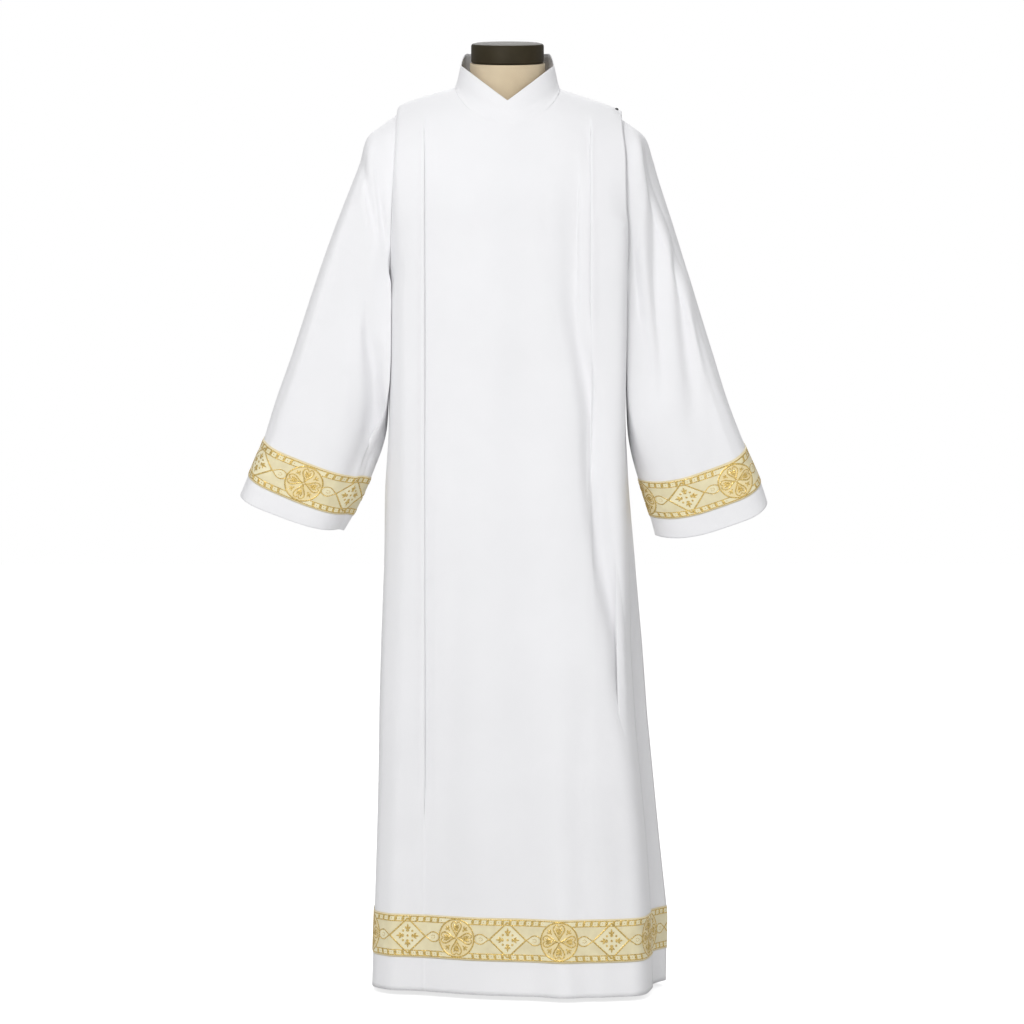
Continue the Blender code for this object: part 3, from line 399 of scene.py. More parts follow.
def rows_of_body():
    """(turn, z) of each row and the rows of the hem band; over the shoulder by turn, then by height."""
    turns = [1.0, 0.97, 0.94, 0.91, 0.88, 0.84, 0.79, 0.74, 0.69, 0.64, 0.59, 0.54, 0.48, 0.42, 0.36,
             0.30, 0.24, 0.17, 0.09]
    rows = [(turn, None) for turn in turns]
    marks = [CHEST_Z, UNDERARM_Z, BAND_HIGH, BAND_LOW, HEM_Z]
    rows.append((0.0, CHEST_Z))
    found = {}
    for high, low in zip(marks, marks[1:]):
        count = math.ceil((high - low) / ROW)
        rows += [(0.0, high + (low - high) * part / count) for part in range(1, count + 1)]
        found[low] = len(rows)
    return rows, slice(found[BAND_HIGH] - 1, found[BAND_LOW])


def row_turn(turn, x, reach, neck):
    """The turn of a row at x: inside the neckline a column starts lower, on the neck's ellipse."""
    if abs(x) >= NECK_X * 0.9999:
        return turn
    start = neck * math.sqrt(1 - (x / NECK_X) ** 2)
    first = math.acos(min((start / reach) ** (SHOULDER_POWER / 2), 1.0)) / (math.pi / 2)
    return turn * first


def centre_columns(turn):
    """(x, x at the top) of the columns between the pleats: they fan out from the neckline's angles."""
    angles = [math.pi / 2 * step / NECK_COLUMNS for step in range(-NECK_COLUMNS, NECK_COLUMNS + 1)]
    outer = [NECK_X + (NECK_REACH - NECK_X) * part for part in (0.25, 0.5, 0.75, 1.0)]
    tight = [-x for x in outer[::-1]] + [NECK_X * math.sin(angle) for angle in angles] + outer
    even = [SKIRT_REACH * (2 * step / (len(tight) - 1) - 1) for step in range(len(tight))]
    spread = smooth((1 - turn) / SPREAD_TURN)
    return [(a + (b - a) * spread, a) for a, b in zip(tight, even)]


def fold_depth(folds, x, z):
    """Sum of the soft folds at a point of a panel."""
    total = 0.0
    for fold in folds:
        if fold["z"].min() <= z <= fold["z"].max():
            away = (x - along(fold, "x", "z", z)) / along(fold, "width", "z", z)
            total += along(fold, "depth", "z", z) * math.exp(-away * away)
    return total


def panel_depth(side, x, z):
    """Depth of the front (side -1) or the back (side 1) between the pleats."""
    if side < 0:
        left, middle, right = body("front_l", z), body("front", z), body("front_r", z)
    else:
        left, middle, right = body("back_p", z), body("back", z), body("back_p", z)
    ratio = x / PLEAT_X
    lean = (right - left) / 2 * ratio
    return middle + lean - (middle - (left + right) / 2) * ratio * ratio


def panel_point(side, x, turn, z, folds, top_x=None):
    """Mid point of a panel between its pleats, without the pleats; top_x is the column's x on top."""
    neck = NECK_FRONT if side < 0 else NECK_BACK
    depth = panel_depth(side, x, z if z else CHEST_Z)
    top_x = x if top_x is None else top_x
    reach = panel_depth(side, top_x, CHEST_Z)
    point = hang(x, depth, row_turn(turn, top_x, reach, neck))
    if z:
        point[2] = z
        point[1] = depth
    point[1] = max(point[1], SEAM) - fold_depth(folds, x, point[2])
    point[1] = max(point[1], SEAM)
    return point * np.array((1, side, 1))


def outward(side, turn):
    """Rough direction out of a panel in a row."""
    angle = turn * math.pi / 2
    return np.array((0.0, side * math.cos(angle), math.sin(angle)))


def pleat_points(side, hand, turn, z, folds, state):
    """The six points of a pleat, from the middle outwards; hand is -1 at the left."""
    base = panel_point(side, hand * PLEAT_X, turn, z, folds)
    lap = smooth(along(state, "lap", "z", base[2]))
    step = smooth(along(state, "step", "z", base[2]))
    out = outward(side, turn)
    slope = (panel_point(side, hand * (PLEAT_X + 0.01), turn, z, folds) - base) / 0.01
    points = []
    for index in range(len(PLEAT_SECTION["along"])):
        shift = PLEAT_SECTION["along"][index] * lap + PLEAT_SECTION["along_open"][index] * (1 - lap)
        rise = PLEAT_SECTION["out"][index] * lap + PLEAT_SECTION["out_open"][index] * (1 - lap) * step
        points.append(base + slope * shift * PLEAT_STEP + out * rise * PLEAT_STEP)
    return points


def bend(start, corner, end, parts):
    """Points after start along a curve that is drawn to a corner, the last one on end."""
    points = []
    for step in range(1, parts + 1):
        t = step / parts
        points.append(start * (1 - t) ** 3 + corner * (3 * (1 - t) ** 2 * t + 3 * (1 - t) * t * t)
                      + end * t ** 3)
    return points


def side_end(side, hand, turn, z):
    """Last point of a panel at its armhole or its side seam."""
    if z and z <= UNDERARM_Z:
        return np.array((hand * body("left" if hand < 0 else "right", z), side * SEAM, z))
    if z is None:
        z = CHEST_Z + (ARMHOLE_TOP_Z - LIFT - CHEST_Z) * power(math.sin(turn * math.pi / 2),
                                                              2 / SHOULDER_POWER)
    x, depth = armhole_edge(hand, z)
    if turn == 1.0:
        depth = SEAM
    return np.array((x - hand * ARMHOLE_INSET, side * max(depth, SEAM), z))


def side_corner(side, hand, turn, z):
    """The corner that a panel's outer strip is drawn to."""
    if z is None:
        x = hand * TIP_X
        depth = panel_depth(side, hand * PLEAT_X, CHEST_Z) * CORNER_DEPTH
        point = hang(x, depth, turn)
        point[1] = max(point[1], SEAM)
        return point * np.array((1, side, 1)) - np.array((0, 0, CORNER_DROP))
    depth = abs(panel_point(side, hand * PLEAT_X, 0.0, z, ())[1]) * CORNER_DEPTH
    return np.array((hand * body("corner", z), side * depth, z))


def free_edge(turn, z):
    """The wrap's free edge at the right; it overhangs the armhole seam."""
    if z is None:
        z = side_corner(-1, 1, turn, None)[2] - EDGE_DROP * turn
        x = max(body("edge", z), TIP_X + CLOTH)
        depth = min(armhole_edge(1, z)[1] + EDGE_OVERHANG, body("edge_y", z))
        return np.array((x, -depth if turn < 1 else -SEAM, z))
    return np.array((body("edge", z), -body("edge_y", z), z))


def left_side(start, turn, z):
    """The wrap's left strip: a flat facet, a soft edge, a turned facet, then back to the seam."""
    corner, end = side_corner(-1, -1, turn, z), side_end(-1, -1, turn, z)
    round_way = bend(start, corner, end, SIDE_PARTS)
    share = smooth((FACET_TOP - z) / FACET_FADE) if z else 0.0
    if share == 0.0:
        return round_way
    back = np.array((end[0] + FACET_IN, corner[1] * FACET_DEPTH, z))
    middle = (corner + back) / 2
    first = SIDE_PARTS // 2
    facets = bend(start, corner, middle, first) + bend(middle, back, end, SIDE_PARTS - first)
    return [a * (1 - share) + b * share for a, b in zip(round_way, facets)]


def front_row(turn, z):
    """Mid points of the wrap front across one row, from the left side seam to the free edge."""
    centre = [panel_point(-1, x, turn, z, FRONT_FOLDS, top) for x, top in centre_columns(turn)]
    left = pleat_points(-1, -1, turn, z, FRONT_FOLDS, LEFT_PLEAT)
    right = pleat_points(-1, 1, turn, z, FRONT_FOLDS, RIGHT_PLEAT)
    left_strip = left_side(left[-1], turn, z)
    edge = free_edge(turn, z)
    if z is None:
        corner = side_corner(-1, 1, turn, None)
        corner = corner * 0.7 + right[-1] * 0.3 + outward(-1, turn) * 0.001
    else:
        corner = right[-1] * (1 - EDGE_CORNER) + edge * EDGE_CORNER
        corner[1] = right[-1][1] * EDGE_FORWARD
    right_strip = bend(right[-1], corner, edge, EDGE_PARTS)
    for point in right_strip[:-1]:
        point[1] += fold_depth(FRONT_FOLDS, point[0], point[2]) * smooth((edge[0] - point[0]) / 0.02)
    return np.array(left_strip[::-1] + left[::-1] + centre + right + right_strip)


def back_row(turn, z):
    """Mid points of the back across one row, from the right side seam to the left one."""
    centre = [panel_point(1, x, turn, z, BACK_FOLDS, top) for x, top in centre_columns(turn)]
    left = pleat_points(1, -1, turn, z, BACK_FOLDS, BACK_PLEAT)
    right = pleat_points(1, 1, turn, z, BACK_FOLDS, BACK_PLEAT)
    left_strip = bend(left[-1], side_corner(1, -1, turn, z), side_end(1, -1, turn, z), SIDE_PARTS)
    right_strip = bend(right[-1], side_corner(1, 1, turn, z), side_end(1, 1, turn, z), SIDE_PARTS)
    row = left_strip[::-1] + left[::-1] + centre + right + right_strip
    return np.array(row[::-1])


def under_grid(wrap, rows):
    """Mid points of the under front: tucked below the wrap's strip, then out to armhole and side."""
    normals = grid_normals(wrap, False)
    tuck = wrap - normals * UNDER_DROP
    parts = EDGE_PARTS * 2 // 3 + 1
    grid = []
    for index, (turn, z) in enumerate(rows):
        low = smooth((UNDERARM_Z - z) / 0.065) if z else 0.0
        above = tuck[index, -EDGE_PARTS + 1:-2][:parts]
        below = tuck[index, -parts:]
        tucked = above * (1 - low) + below * low
        tucked[:, 1] = np.minimum(tucked[:, 1], -SEAM)
        start = tucked[-1]
        end = side_end(-1, 1, turn, z)
        heading = (tucked[-1] - tucked[-2]) * (1 if low > 0.5 else 0.5)
        reach = np.linalg.norm(end - start) * 0.45 / np.linalg.norm(heading)
        straight = start + heading * reach
        straight[0] = min(straight[0], end[0] - 0.002)
        hollow = start * np.array((0.3, 0.75, 0.5)) + end * np.array((0.7, 0.25, 0.5))
        grid.append(list(tucked) + bend(start, straight * low + hollow * (1 - low), end, UNDER_PARTS))
    return np.array(grid)


def crease(table_of, x, y):
    """Summed depth of the soft creases at points of a panel or sleeve; both ends run out softly."""
    names = list(table_of)
    total = np.zeros_like(x)
    for index in range(len(table_of[names[0]])):
        x0, y0, x1, y1, width, depth = (table_of[name][index] for name in names)
        t = np.clip((y - y0) / (y1 - y0), 0.0, 1.0)
        bow = np.sin(math.pi * t) * width * 0.6 * (-1) ** index
        away = (x - (x0 + (x1 - x0) * t + bow)) / width
        run = np.where((t > 0) & (t < 1), np.sin(math.pi * t) ** 0.8, 0.0)
        if y1 <= HEM_Z + 1e-9 and "z1" in names:
            run = np.where(t > 0.5, 1.0, run) * (t > 0)
        total += depth * run * np.exp(-away * away)
    return total


def trough(ways, x, z):
    """Summed depth of the main creases at points of a panel or sleeve."""
    total = np.zeros_like(x)
    for way in ways:
        order = np.argsort(way["z"])
        here = {name: sum(np.interp(z + step, way["z"][order], way[name][order]) for step in TROUGH_EASE)
                / len(TROUGH_EASE) for name in ("x", "left", "right", "depth")}
        away = x - here["x"]
        away = away / np.where(away < 0, here["left"], here["right"])
        total += here["depth"] * np.exp(-away * away)
    return total


def ripple(grid, size, amount, seed):
    """Slow unevenness of hanging cloth, stretched along its fall."""
    flat = grid.reshape(-1, 3) / size * np.array((1.0, 1.0, 0.28)) + seed
    values = [noise.noise(Vector(point)) for point in flat.tolist()]
    return np.array(values).reshape(grid.shape[:2]) * amount


def creased(grid, creases, troughs, side, seed):
    """A panel's grid with its creases pressed in; the shoulders, which lie on the form, stay."""
    normals = grid_normals(grid, False)
    normals = normals * np.where(normals[..., 1:2] * side < 0, -1.0, 1.0)
    fall = np.clip((1.34 - grid[..., 2]) / 0.12, 0.0, 1.0)
    depth = crease(creases, grid[..., 0], grid[..., 2]) - ripple(grid, 0.085, 0.0016, seed)
    depth = depth + trough(troughs, grid[..., 0], grid[..., 2])
    grid = grid - normals * (depth * fall)[..., None]
    grid[..., 1] *= 1 + HEM_OUT * np.clip((BAND_LOW - grid[..., 2]) / BAND_LOW, 0.0, 1.0) ** 1.4
    return grid


# ---- sleeves
def spline(values, position):
    """A size of a sleeve between the rows of its table, on a smooth curve through them."""
    index = min(int(position), len(values) - 2)
    t = position - index
    before, after = values[max(index - 1, 0)], values[min(index + 2, len(values) - 1)]
    a, b = values[index], values[index + 1]
    slope_a, slope_b = (b - before) / 2, (after - a) / 2
    return (a * (2 * t ** 3 - 3 * t * t + 1) + slope_a * (t ** 3 - 2 * t * t + t)
            + b * (3 * t * t - 2 * t ** 3) + slope_b * (t ** 3 - t * t))


def sleeve_fold(folds, angle, row):
    total = 0.0
    for index in range(len(folds["angle"])):
        first, last = folds["first"][index], folds["last"][index]
        if first < row < last:
            fade = math.sin(math.pi * (row - first) / (last - first))
            away = (angle - folds["angle"][index]) / folds["width"][index]
            total += folds["depth"][index] * fade * math.exp(-away * away)
    return total


def sleeve_rows():
    """Positions in a sleeve table of the fine rows, and the rows of its cuff band."""
    marks = [0.0, CUFF_BAND_TOP, CUFF_BAND_FOOT, 12.0]
    counts = [136, 18, 9]
    rows = [0.0]
    for start, end, count in zip(marks, marks[1:], counts):
        rows += [start + (end - start) * part / count for part in range(1, count + 1)]
    return rows, slice(counts[0] + 1, counts[0] + counts[1] + 2)


def side_of_body(hand, y, z):
    """Where the body's side is, at a depth and a height."""
    if hand > 0:
        return body("right", z) + SIDE_GAP
    edge = body("left", z) - FACET_IN
    corner, depth = body("corner", z), body("front_l", z) * CORNER_DEPTH
    share = min(max((abs(y) / depth - FACET_DEPTH) / (1 - FACET_DEPTH), 0.0), 1.0)
    return -(edge + FACET_IN * (1 - min(abs(y) / depth / FACET_DEPTH, 1.0)) + (corner - edge) * share
             + SIDE_GAP)


def sleeve_grid(hand, sizes, folds, creases, troughs, seed):
    """Rings of a sleeve from the armhole to its hem; angle 0 is the outer edge, 90 the front."""
    grid, angles = [], []
    rows = sleeve_rows()[0]
    first, second, third, last = CORNER_ROWS
    for row in rows:
        size = {name: spline(values, row) for name, values in sizes.items()}
        outer = np.array((hand * size["outer_x"], 0, size["outer_z"]))
        inner = np.array((hand * size["inner_x"], 0, size["inner_z"]))
        centre, half = (outer + inner) / 2, (outer - inner) / 2
        ring = []
        for step in range(RING):
            angle = 2 * math.pi * step / RING
            turned_by = math.degrees(angle)
            depth = size["depth"] - sleeve_fold(folds, turned_by, row)
            flatter = (OUTER_POWER - SLEEVE_POWER) * smooth(math.cos(angle) * 2) * smooth(row / 2)
            across = SLEEVE_POWER + flatter
            front = power(math.sin(angle), 2 / across)
            point = centre + half * power(math.cos(angle), 2 / across)
            square = math.exp(-((turned_by - CORNER_ANGLE) / CORNER_SPAN) ** 2)
            close = smooth((row - first) / (second - first)) * smooth((last - row) / (last - third))
            drop = size["dip"] * front * abs(front)
            point = point + np.array((0.0, size["y"] - depth * front - CORNER_OUT * square * close, -drop))
            turn = smooth((turned_by - 112) / 28) * smooth((200 - turned_by) / 15) * close
            point[0] += (side_of_body(hand, point[1], point[2]) - point[0]) * turn
            ring.append(point)
        grid.append(ring)
        angles.append([360 * step / RING for step in range(RING)])
    grid, angles = np.array(grid), np.array(angles)
    if hand < 0:
        grid, angles = grid[:, ::-1], angles[:, ::-1]
    grid, angles = grid[:, ::-1], angles[:, ::-1]
    normals = grid_normals(grid, True)
    fade = np.clip(np.array(rows) / 1.5, 0.0, 1.0)[:, None]
    depth = crease(creases, angles, np.array(rows)[:, None] * np.ones(RING))
    depth = depth - ripple(grid, 0.07, 0.0014, seed)
    before = np.clip(np.sin(np.radians(angles)) / 0.3, 0.0, 1.0)
    depth = depth + trough(troughs, grid[..., 0], grid[..., 2]) * before
    grid = grid - normals * (depth * fade)[..., None]
    tuck = grid[:1] - normals[:1] * HEAD_TUCK - np.array((hand * HEAD_TUCK * 2, 0, 0))
    return np.concatenate((tuck, grid))


# ---- collar
def neckline_point(angle, turn=1.0):
    """Point of the neckline, or lower on its column: angle 0 is the middle of the front, in radians."""
    x = NECK_X * math.sin(angle)
    side = -1 if math.cos(angle) > 0 else 1
    return panel_point(side, x, turn, None, ())


def collar_top(angle):
    if math.cos(angle) > 0:
        return COLLAR_V_Z + (COLLAR_SIDE_Z - COLLAR_V_Z) * abs(math.sin(angle))
    return COLLAR_SIDE_Z + (COLLAR_BACK_Z - COLLAR_SIDE_Z) * smooth(-math.cos(angle) * 2)


def collar_grid():
    """Rows from the collar's top to its foot, which runs out softly onto the panels and under them."""
    steps = 180
    grid = []
    for step in range(steps):
        angle = 2 * math.pi * step / steps
        away = np.array((math.sin(angle), -math.cos(angle), 0))
        neck = neckline_point(angle)
        below = neckline_point(angle, COLLAR_SKIRT_TURN)
        fall = (below - neck) / np.linalg.norm(below - neck)
        foot = neck - away * COLLAR_INSET + np.array((0, 0, COLLAR_RISE))
        share = COLLAR_LEAN_BACK + (1 - COLLAR_LEAN_BACK) * abs(math.sin(angle))
        top = np.array((foot[0], foot[1], collar_top(angle))) - away * COLLAR_LEAN * share
        rise = top - foot
        start = COLLAR_FILLET / np.linalg.norm(rise)
        column = [top - rise * (1 - start) * part for part in np.linspace(0.0, 1.0, 12)]
        foot_out = neck + fall * COLLAR_FILLET
        joint = foot + rise * start
        for part in np.linspace(0.0, 1.0, 9)[1:]:
            column.append(joint * (1 - part) ** 2 + (neck + foot) * part * (1 - part) + foot_out * part ** 2)
        under = np.cross(fall, (math.cos(angle), math.sin(angle), 0.0))
        under = under / np.linalg.norm(under)
        under = -under if under[2] > 0 else under
        column.append(foot_out + fall * 0.004 + under * (COLLAR_CLOTH / 2))
        column.append(foot_out + fall * 0.008 + under * COLLAR_CLOTH * 1.1)
        grid.append(column)
    return np.array(grid).transpose(1, 0, 2)


# ---- meshes
def new_piece(name, points, faces, finish, uvs=None, layer="thread"):
    """A smooth shaded piece that rides on the robe's body; uvs are one pair for each point."""
    mesh = bpy.data.meshes.new(name)
    mesh.from_pydata([tuple(point) for point in points], [], faces)
    if uvs is not None:
        corners = np.empty(len(mesh.loops), dtype=np.int32)
        mesh.loops.foreach_get("vertex_index", corners)
        flat = np.asarray(uvs, dtype=np.float32)[corners].ravel()
        mesh.uv_layers.new(name=layer).data.foreach_set("uv", flat)
    finishes = finish if isinstance(finish, (list, tuple)) else [finish]
    for one in finishes:
        mesh.materials.append(one)
    mesh.shade_smooth()
    mesh.validate()
    made = bpy.data.objects.new(name, mesh)
    bpy.context.scene.collection.objects.link(made)
    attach(made, ROOT)
    return made


def lengths(grid, axis):
    """Running length along a grid's rows (axis 0 goes down) or columns, in metres."""
    steps = np.linalg.norm(np.diff(grid, axis=axis), axis=2)
    total = np.cumsum(steps, axis=axis)
    first = np.zeros_like(total[:1] if axis == 0 else total[:, :1])
    return np.concatenate((first, total), axis=axis)


def shell(name, grid, finish, thickness, closed=False, offset=0.0, part=slice(None), layer="thread"):
    """A thin closed wall over some rows of a grid of mid points, with its lengths as UVs."""
    normals = grid_normals(grid, closed)[part]
    grid = grid[part]
    if closed:
        grid = np.concatenate((grid, grid[:, :1]), axis=1)
        normals = np.concatenate((normals, normals[:, :1]), axis=1)
    rows, columns = grid.shape[:2]
    outer = grid + normals * (offset + thickness / 2)
    inner = grid + normals * (offset - thickness / 2)
    across, down = lengths(grid, 1), lengths(grid, 0)
    across = across - across[:, columns // 2][:, None]
    uvs = np.stack((across, -down), axis=2).reshape(-1, 2)
    points = np.concatenate((outer.reshape(-1, 3), inner.reshape(-1, 3)))
    half = rows * columns
    index = np.arange(half).reshape(rows, columns)
    a, b = index[:-1, :-1].ravel(), index[:-1, 1:].ravel()
    c, d = index[1:, 1:].ravel(), index[1:, :-1].ravel()
    faces = np.stack((d, c, b, a), axis=1)
    faces = np.concatenate((faces, np.stack((a, b, c, d), axis=1) + half))
    rims = [index[0], index[-1][::-1]]
    if not closed:
        rims += [index[:, 0][::-1], index[:, -1]]
    for rim in rims:
        p, q = rim[:-1], rim[1:]
        faces = np.concatenate((faces, np.stack((p, q, q + half, p + half), axis=1)))
    made = new_piece(name, points, faces.tolist(), finish, np.concatenate((uvs, uvs)), layer)
    if closed:
        weld(made)
    return made


def weld(piece):
    """Joins the two ends of a ring, where the points lie on each other."""
    made = bmesh.new()
    made.from_mesh(piece.data)
    bmesh.ops.remove_doubles(made, verts=made.verts, dist=1e-6)
    made.to_mesh(piece.data)
    made.free()


def thread_row(name, points, normals, finish, pitch=0.0030, fill=0.66, radius=0.00022):
    """A row of lockstitches along a line on the cloth: small rounded lozenges, one joined mesh."""
    steps = np.linalg.norm(np.diff(points, axis=0), axis=1)
    run = np.concatenate(([0.0], np.cumsum(steps)))
    count = int(run[-1] / pitch)
    corners, faces = [], []
    for index in range(count):
        start, end = index * pitch, (index + fill) * pitch
        spots = [np.array([np.interp(s, run, points[:, axis]) for axis in range(3)])
                 for s in (start, (start + end) / 2, end)]
        up = np.array([np.interp((start + end) / 2, run, normals[:, axis]) for axis in range(3)])
        up /= np.linalg.norm(up)
        heading = spots[2] - spots[0]
        side = np.cross(heading, up)
        side /= max(np.linalg.norm(side), 1e-9)
        base = len(corners)
        corners += [spots[0], spots[1] + side * radius + up * radius * 0.3, spots[1] + up * radius * 1.4,
                    spots[1] - side * radius + up * radius * 0.3, spots[2], spots[1] - up * radius]
        for p, q in ((1, 2), (2, 3), (3, 5), (5, 1)):
            faces += [(base, base + q, base + p), (base + 4, base + p, base + q)]
    return new_piece(name, corners, faces, finish)


# ---- shader node helpers and groups
def plug(owner, name):
    """A node's input by its name, written in lower case with underscores."""
    return next(socket for socket in owner.inputs if socket.name.lower() == name.replace("_", " "))


def node(tree, kind, **values):
    """A shader node with values on its inputs."""
    made = tree.nodes.new(kind)
    for name, value in values.items():
        plug(made, name).default_value = value
    return made


def maths(tree, operation, first, second=None, third=None, clamp=False):
    """A math node; an argument is a socket or a number. Returns its output."""
    made = tree.nodes.new("ShaderNodeMath")
    made.operation = operation
    made.use_clamp = clamp
    for index, value in enumerate((first, second, third)):
        if value is None:
            continue
        if isinstance(value, (int, float)):
            made.inputs[index].default_value = value
        else:
            tree.links.new(value, made.inputs[index])
    return made.outputs[0]


def mixed(tree, factor, first, second):
    """A colour mix; an argument is a socket or a colour."""
    made = tree.nodes.new("ShaderNodeMix")
    made.data_type = "RGBA"
    for socket, value in ((made.inputs[0], factor), (made.inputs[6], first), (made.inputs[7], second)):
        if isinstance(value, bpy.types.NodeSocket):
            tree.links.new(value, socket)
        else:
            socket.default_value = (*value, 1.0) if isinstance(value, tuple) else value
    return made.outputs[2]


def new_group(name, inputs, outputs):
    """An empty node group with float or vector inputs and outputs; returns it and its two ends."""
    group = bpy.data.node_groups.new(name, "ShaderNodeTree")
    for title, kind, value in inputs:
        socket = group.interface.new_socket(title, in_out="INPUT", socket_type=kind)
        if value is not None:
            socket.default_value = value
    for title, kind in outputs:
        group.interface.new_socket(title, in_out="OUTPUT", socket_type=kind)
    return group, group.nodes.new("NodeGroupInput").outputs, group.nodes.new("NodeGroupOutput").inputs


def placed(tree, group, vector=None, **values):
    """A group placed in a material, with its own values."""
    made = tree.nodes.new("ShaderNodeGroup")
    made.node_tree = group
    for name, value in values.items():
        plug(made, name).default_value = value
    if vector is not None:
        tree.links.new(vector, made.inputs["Vector"])
    return made.outputs


def plain_weave_group():
    """Height of a plain weave: warp and weft pass over each other in turn."""
    group, given, result = new_group(
        "plain_weave",
        [("Vector", "NodeSocketVector", None), ("Threads", "NodeSocketFloat", 2500.0),
         ("Slub", "NodeSocketFloat", 0.2)],
        [("Height", "NodeSocketFloat"), ("Shade", "NodeSocketFloat")])
    uneven = node(group, "ShaderNodeTexNoise", scale=90.0, detail=3.0)
    group.links.new(given["Vector"], uneven.inputs["Vector"])
    drift = maths(group, "MULTIPLY", maths(group, "SUBTRACT", uneven.outputs[0], 0.5), given["Slub"])
    parts = group.nodes.new("ShaderNodeSeparateXYZ")
    group.links.new(given["Vector"], parts.inputs[0])
    across = maths(group, "ADD", maths(group, "MULTIPLY", parts.outputs[0], given["Threads"]), drift)
    down = maths(group, "ADD", maths(group, "MULTIPLY", parts.outputs[1], given["Threads"]), drift)
    warp = maths(group, "ABSOLUTE", maths(group, "SINE", maths(group, "MULTIPLY", across, math.pi)))
    weft = maths(group, "ABSOLUTE", maths(group, "SINE", maths(group, "MULTIPLY", down, math.pi)))
    cells = maths(group, "ADD", maths(group, "FLOOR", across), maths(group, "FLOOR", down))
    over = maths(group, "FLOORED_MODULO", cells, 2.0)
    height = maths(group, "ADD", maths(group, "MULTIPLY", warp, over),
                   maths(group, "MULTIPLY", weft, maths(group, "SUBTRACT", 1.0, over)))
    group.links.new(height, result["Height"])
    group.links.new(uneven.outputs[0], result["Shade"])
    return group


def mottle_group():
    """Slow change of tone over a surface, between 0 and 1."""
    group, given, result = new_group(
        "mottle", [("Vector", "NodeSocketVector", None), ("Scale", "NodeSocketFloat", 8.0),
                   ("Low", "NodeSocketFloat", 0.0), ("High", "NodeSocketFloat", 1.0)],
        [("Tone", "NodeSocketFloat")])
    cloud = node(group, "ShaderNodeTexNoise", detail=4.0, roughness=0.55)
    group.links.new(given["Vector"], cloud.inputs["Vector"])
    group.links.new(given["Scale"], cloud.inputs["Scale"])
    spread = group.nodes.new("ShaderNodeMapRange")
    group.links.new(cloud.outputs[0], spread.inputs[0])
    spread.inputs[1].default_value, spread.inputs[2].default_value = 0.3, 0.7
    group.links.new(given["Low"], spread.inputs[3])
    group.links.new(given["High"], spread.inputs[4])
    group.links.new(spread.outputs[0], result["Tone"])
    return group


PLAIN_WEAVE = plain_weave_group()
MOTTLE = mottle_group()


def new_finish(name, colour, roughness=0.7, metallic=0.0, **values):
    """A material with its shader's plain values; returns material, tree and shader."""
    made = bpy.data.materials.new(name)
    made.use_nodes = True
    made.diffuse_color = (*colour, 1.0)
    tree = made.node_tree
    shader = tree.nodes["Principled BSDF"]
    shader.inputs["Base Color"].default_value = (*colour, 1.0)
    shader.inputs["Roughness"].default_value = roughness
    shader.inputs["Metallic"].default_value = metallic
    for title, value in values.items():
        plug(shader, title).default_value = value
    return made, tree, shader


def uv_of(tree, layer="thread"):
    made = tree.nodes.new("ShaderNodeUVMap")
    made.uv_map = layer
    return made.outputs[0]


def space_of(tree):
    return tree.nodes.new("ShaderNodeTexCoord").outputs["Object"]


def bumped(tree, shader, height, distance, strength=1.0):
    bump = tree.nodes.new("ShaderNodeBump")
    bump.inputs["Strength"].default_value = strength
    bump.inputs["Distance"].default_value = distance
    tree.links.new(height, bump.inputs["Height"])
    tree.links.new(bump.outputs[0], shader.inputs["Normal"])


def toned(tree, shader, tone, dark, light):
    """Base colour between two tones."""
    tree.links.new(mixed(tree, tone, dark, light), shader.inputs["Base Color"])


def woven_cloth(name, dark, light, threads, depth, roughness, slub=0.2, mottling=6.0, **values):
    """Plain woven cloth: thin threads as relief and as painted shade in the weave's hollows, slow mottling in
    its tone and gloss.
    """
    made, tree, shader = new_finish(name, light, roughness, **values)
    weave = placed(tree, PLAIN_WEAVE, uv_of(tree), threads=threads, slub=slub)
    tone = placed(tree, MOTTLE, space_of(tree), scale=mottling)["Tone"]
    worn = maths(tree, "MULTIPLY", tone, 0.6)
    # painted shade: the weave's height also lightens the colour on the threads' crests and darkens it in
    # their hollows
    weave_hollow_shade = maths(tree, "MULTIPLY", weave["Height"], 0.4)
    toned(tree, shader, maths(tree, "ADD", worn, weave_hollow_shade, clamp=True), dark, light)
    tree.links.new(maths(tree, "ADD", maths(tree, "MULTIPLY", tone, 0.08), roughness - 0.04),
                   shader.inputs["Roughness"])
    bumped(tree, shader, weave["Height"], depth)
    return made


# ---- the galloon's drawing, in parts of its width; u runs along the band
REPEAT = 0.166             # from lozenge to lozenge
CUFF_START = {"left": 0.209, "right": 0.176}    # a cuff's first whole lozenge, from its joining
WIDTH = BAND_HIGH - BAND_LOW
GOLD_LIFT = 0.00015        # gold starts this far over the ground
GOLD_HEIGHT = 0.00055      # and rises this much
LOZENGE_HALF, LOZENGE_TALL = 0.425, 0.405
ROUNDEL = 0.432
LINK_MIDDLE, LINK_HALF, LINK_TALL = 0.60, 0.165, 0.112
OUTER_LINE, INNER_LINE = 0.452, 0.335
STITCH_LINE = 0.482        # the two rows of stitches that hold the band
BORDER_CELLS = 14          # leaves of the border in one repeat
OUTLINE, FINE_LINE = 0.036, 0.024


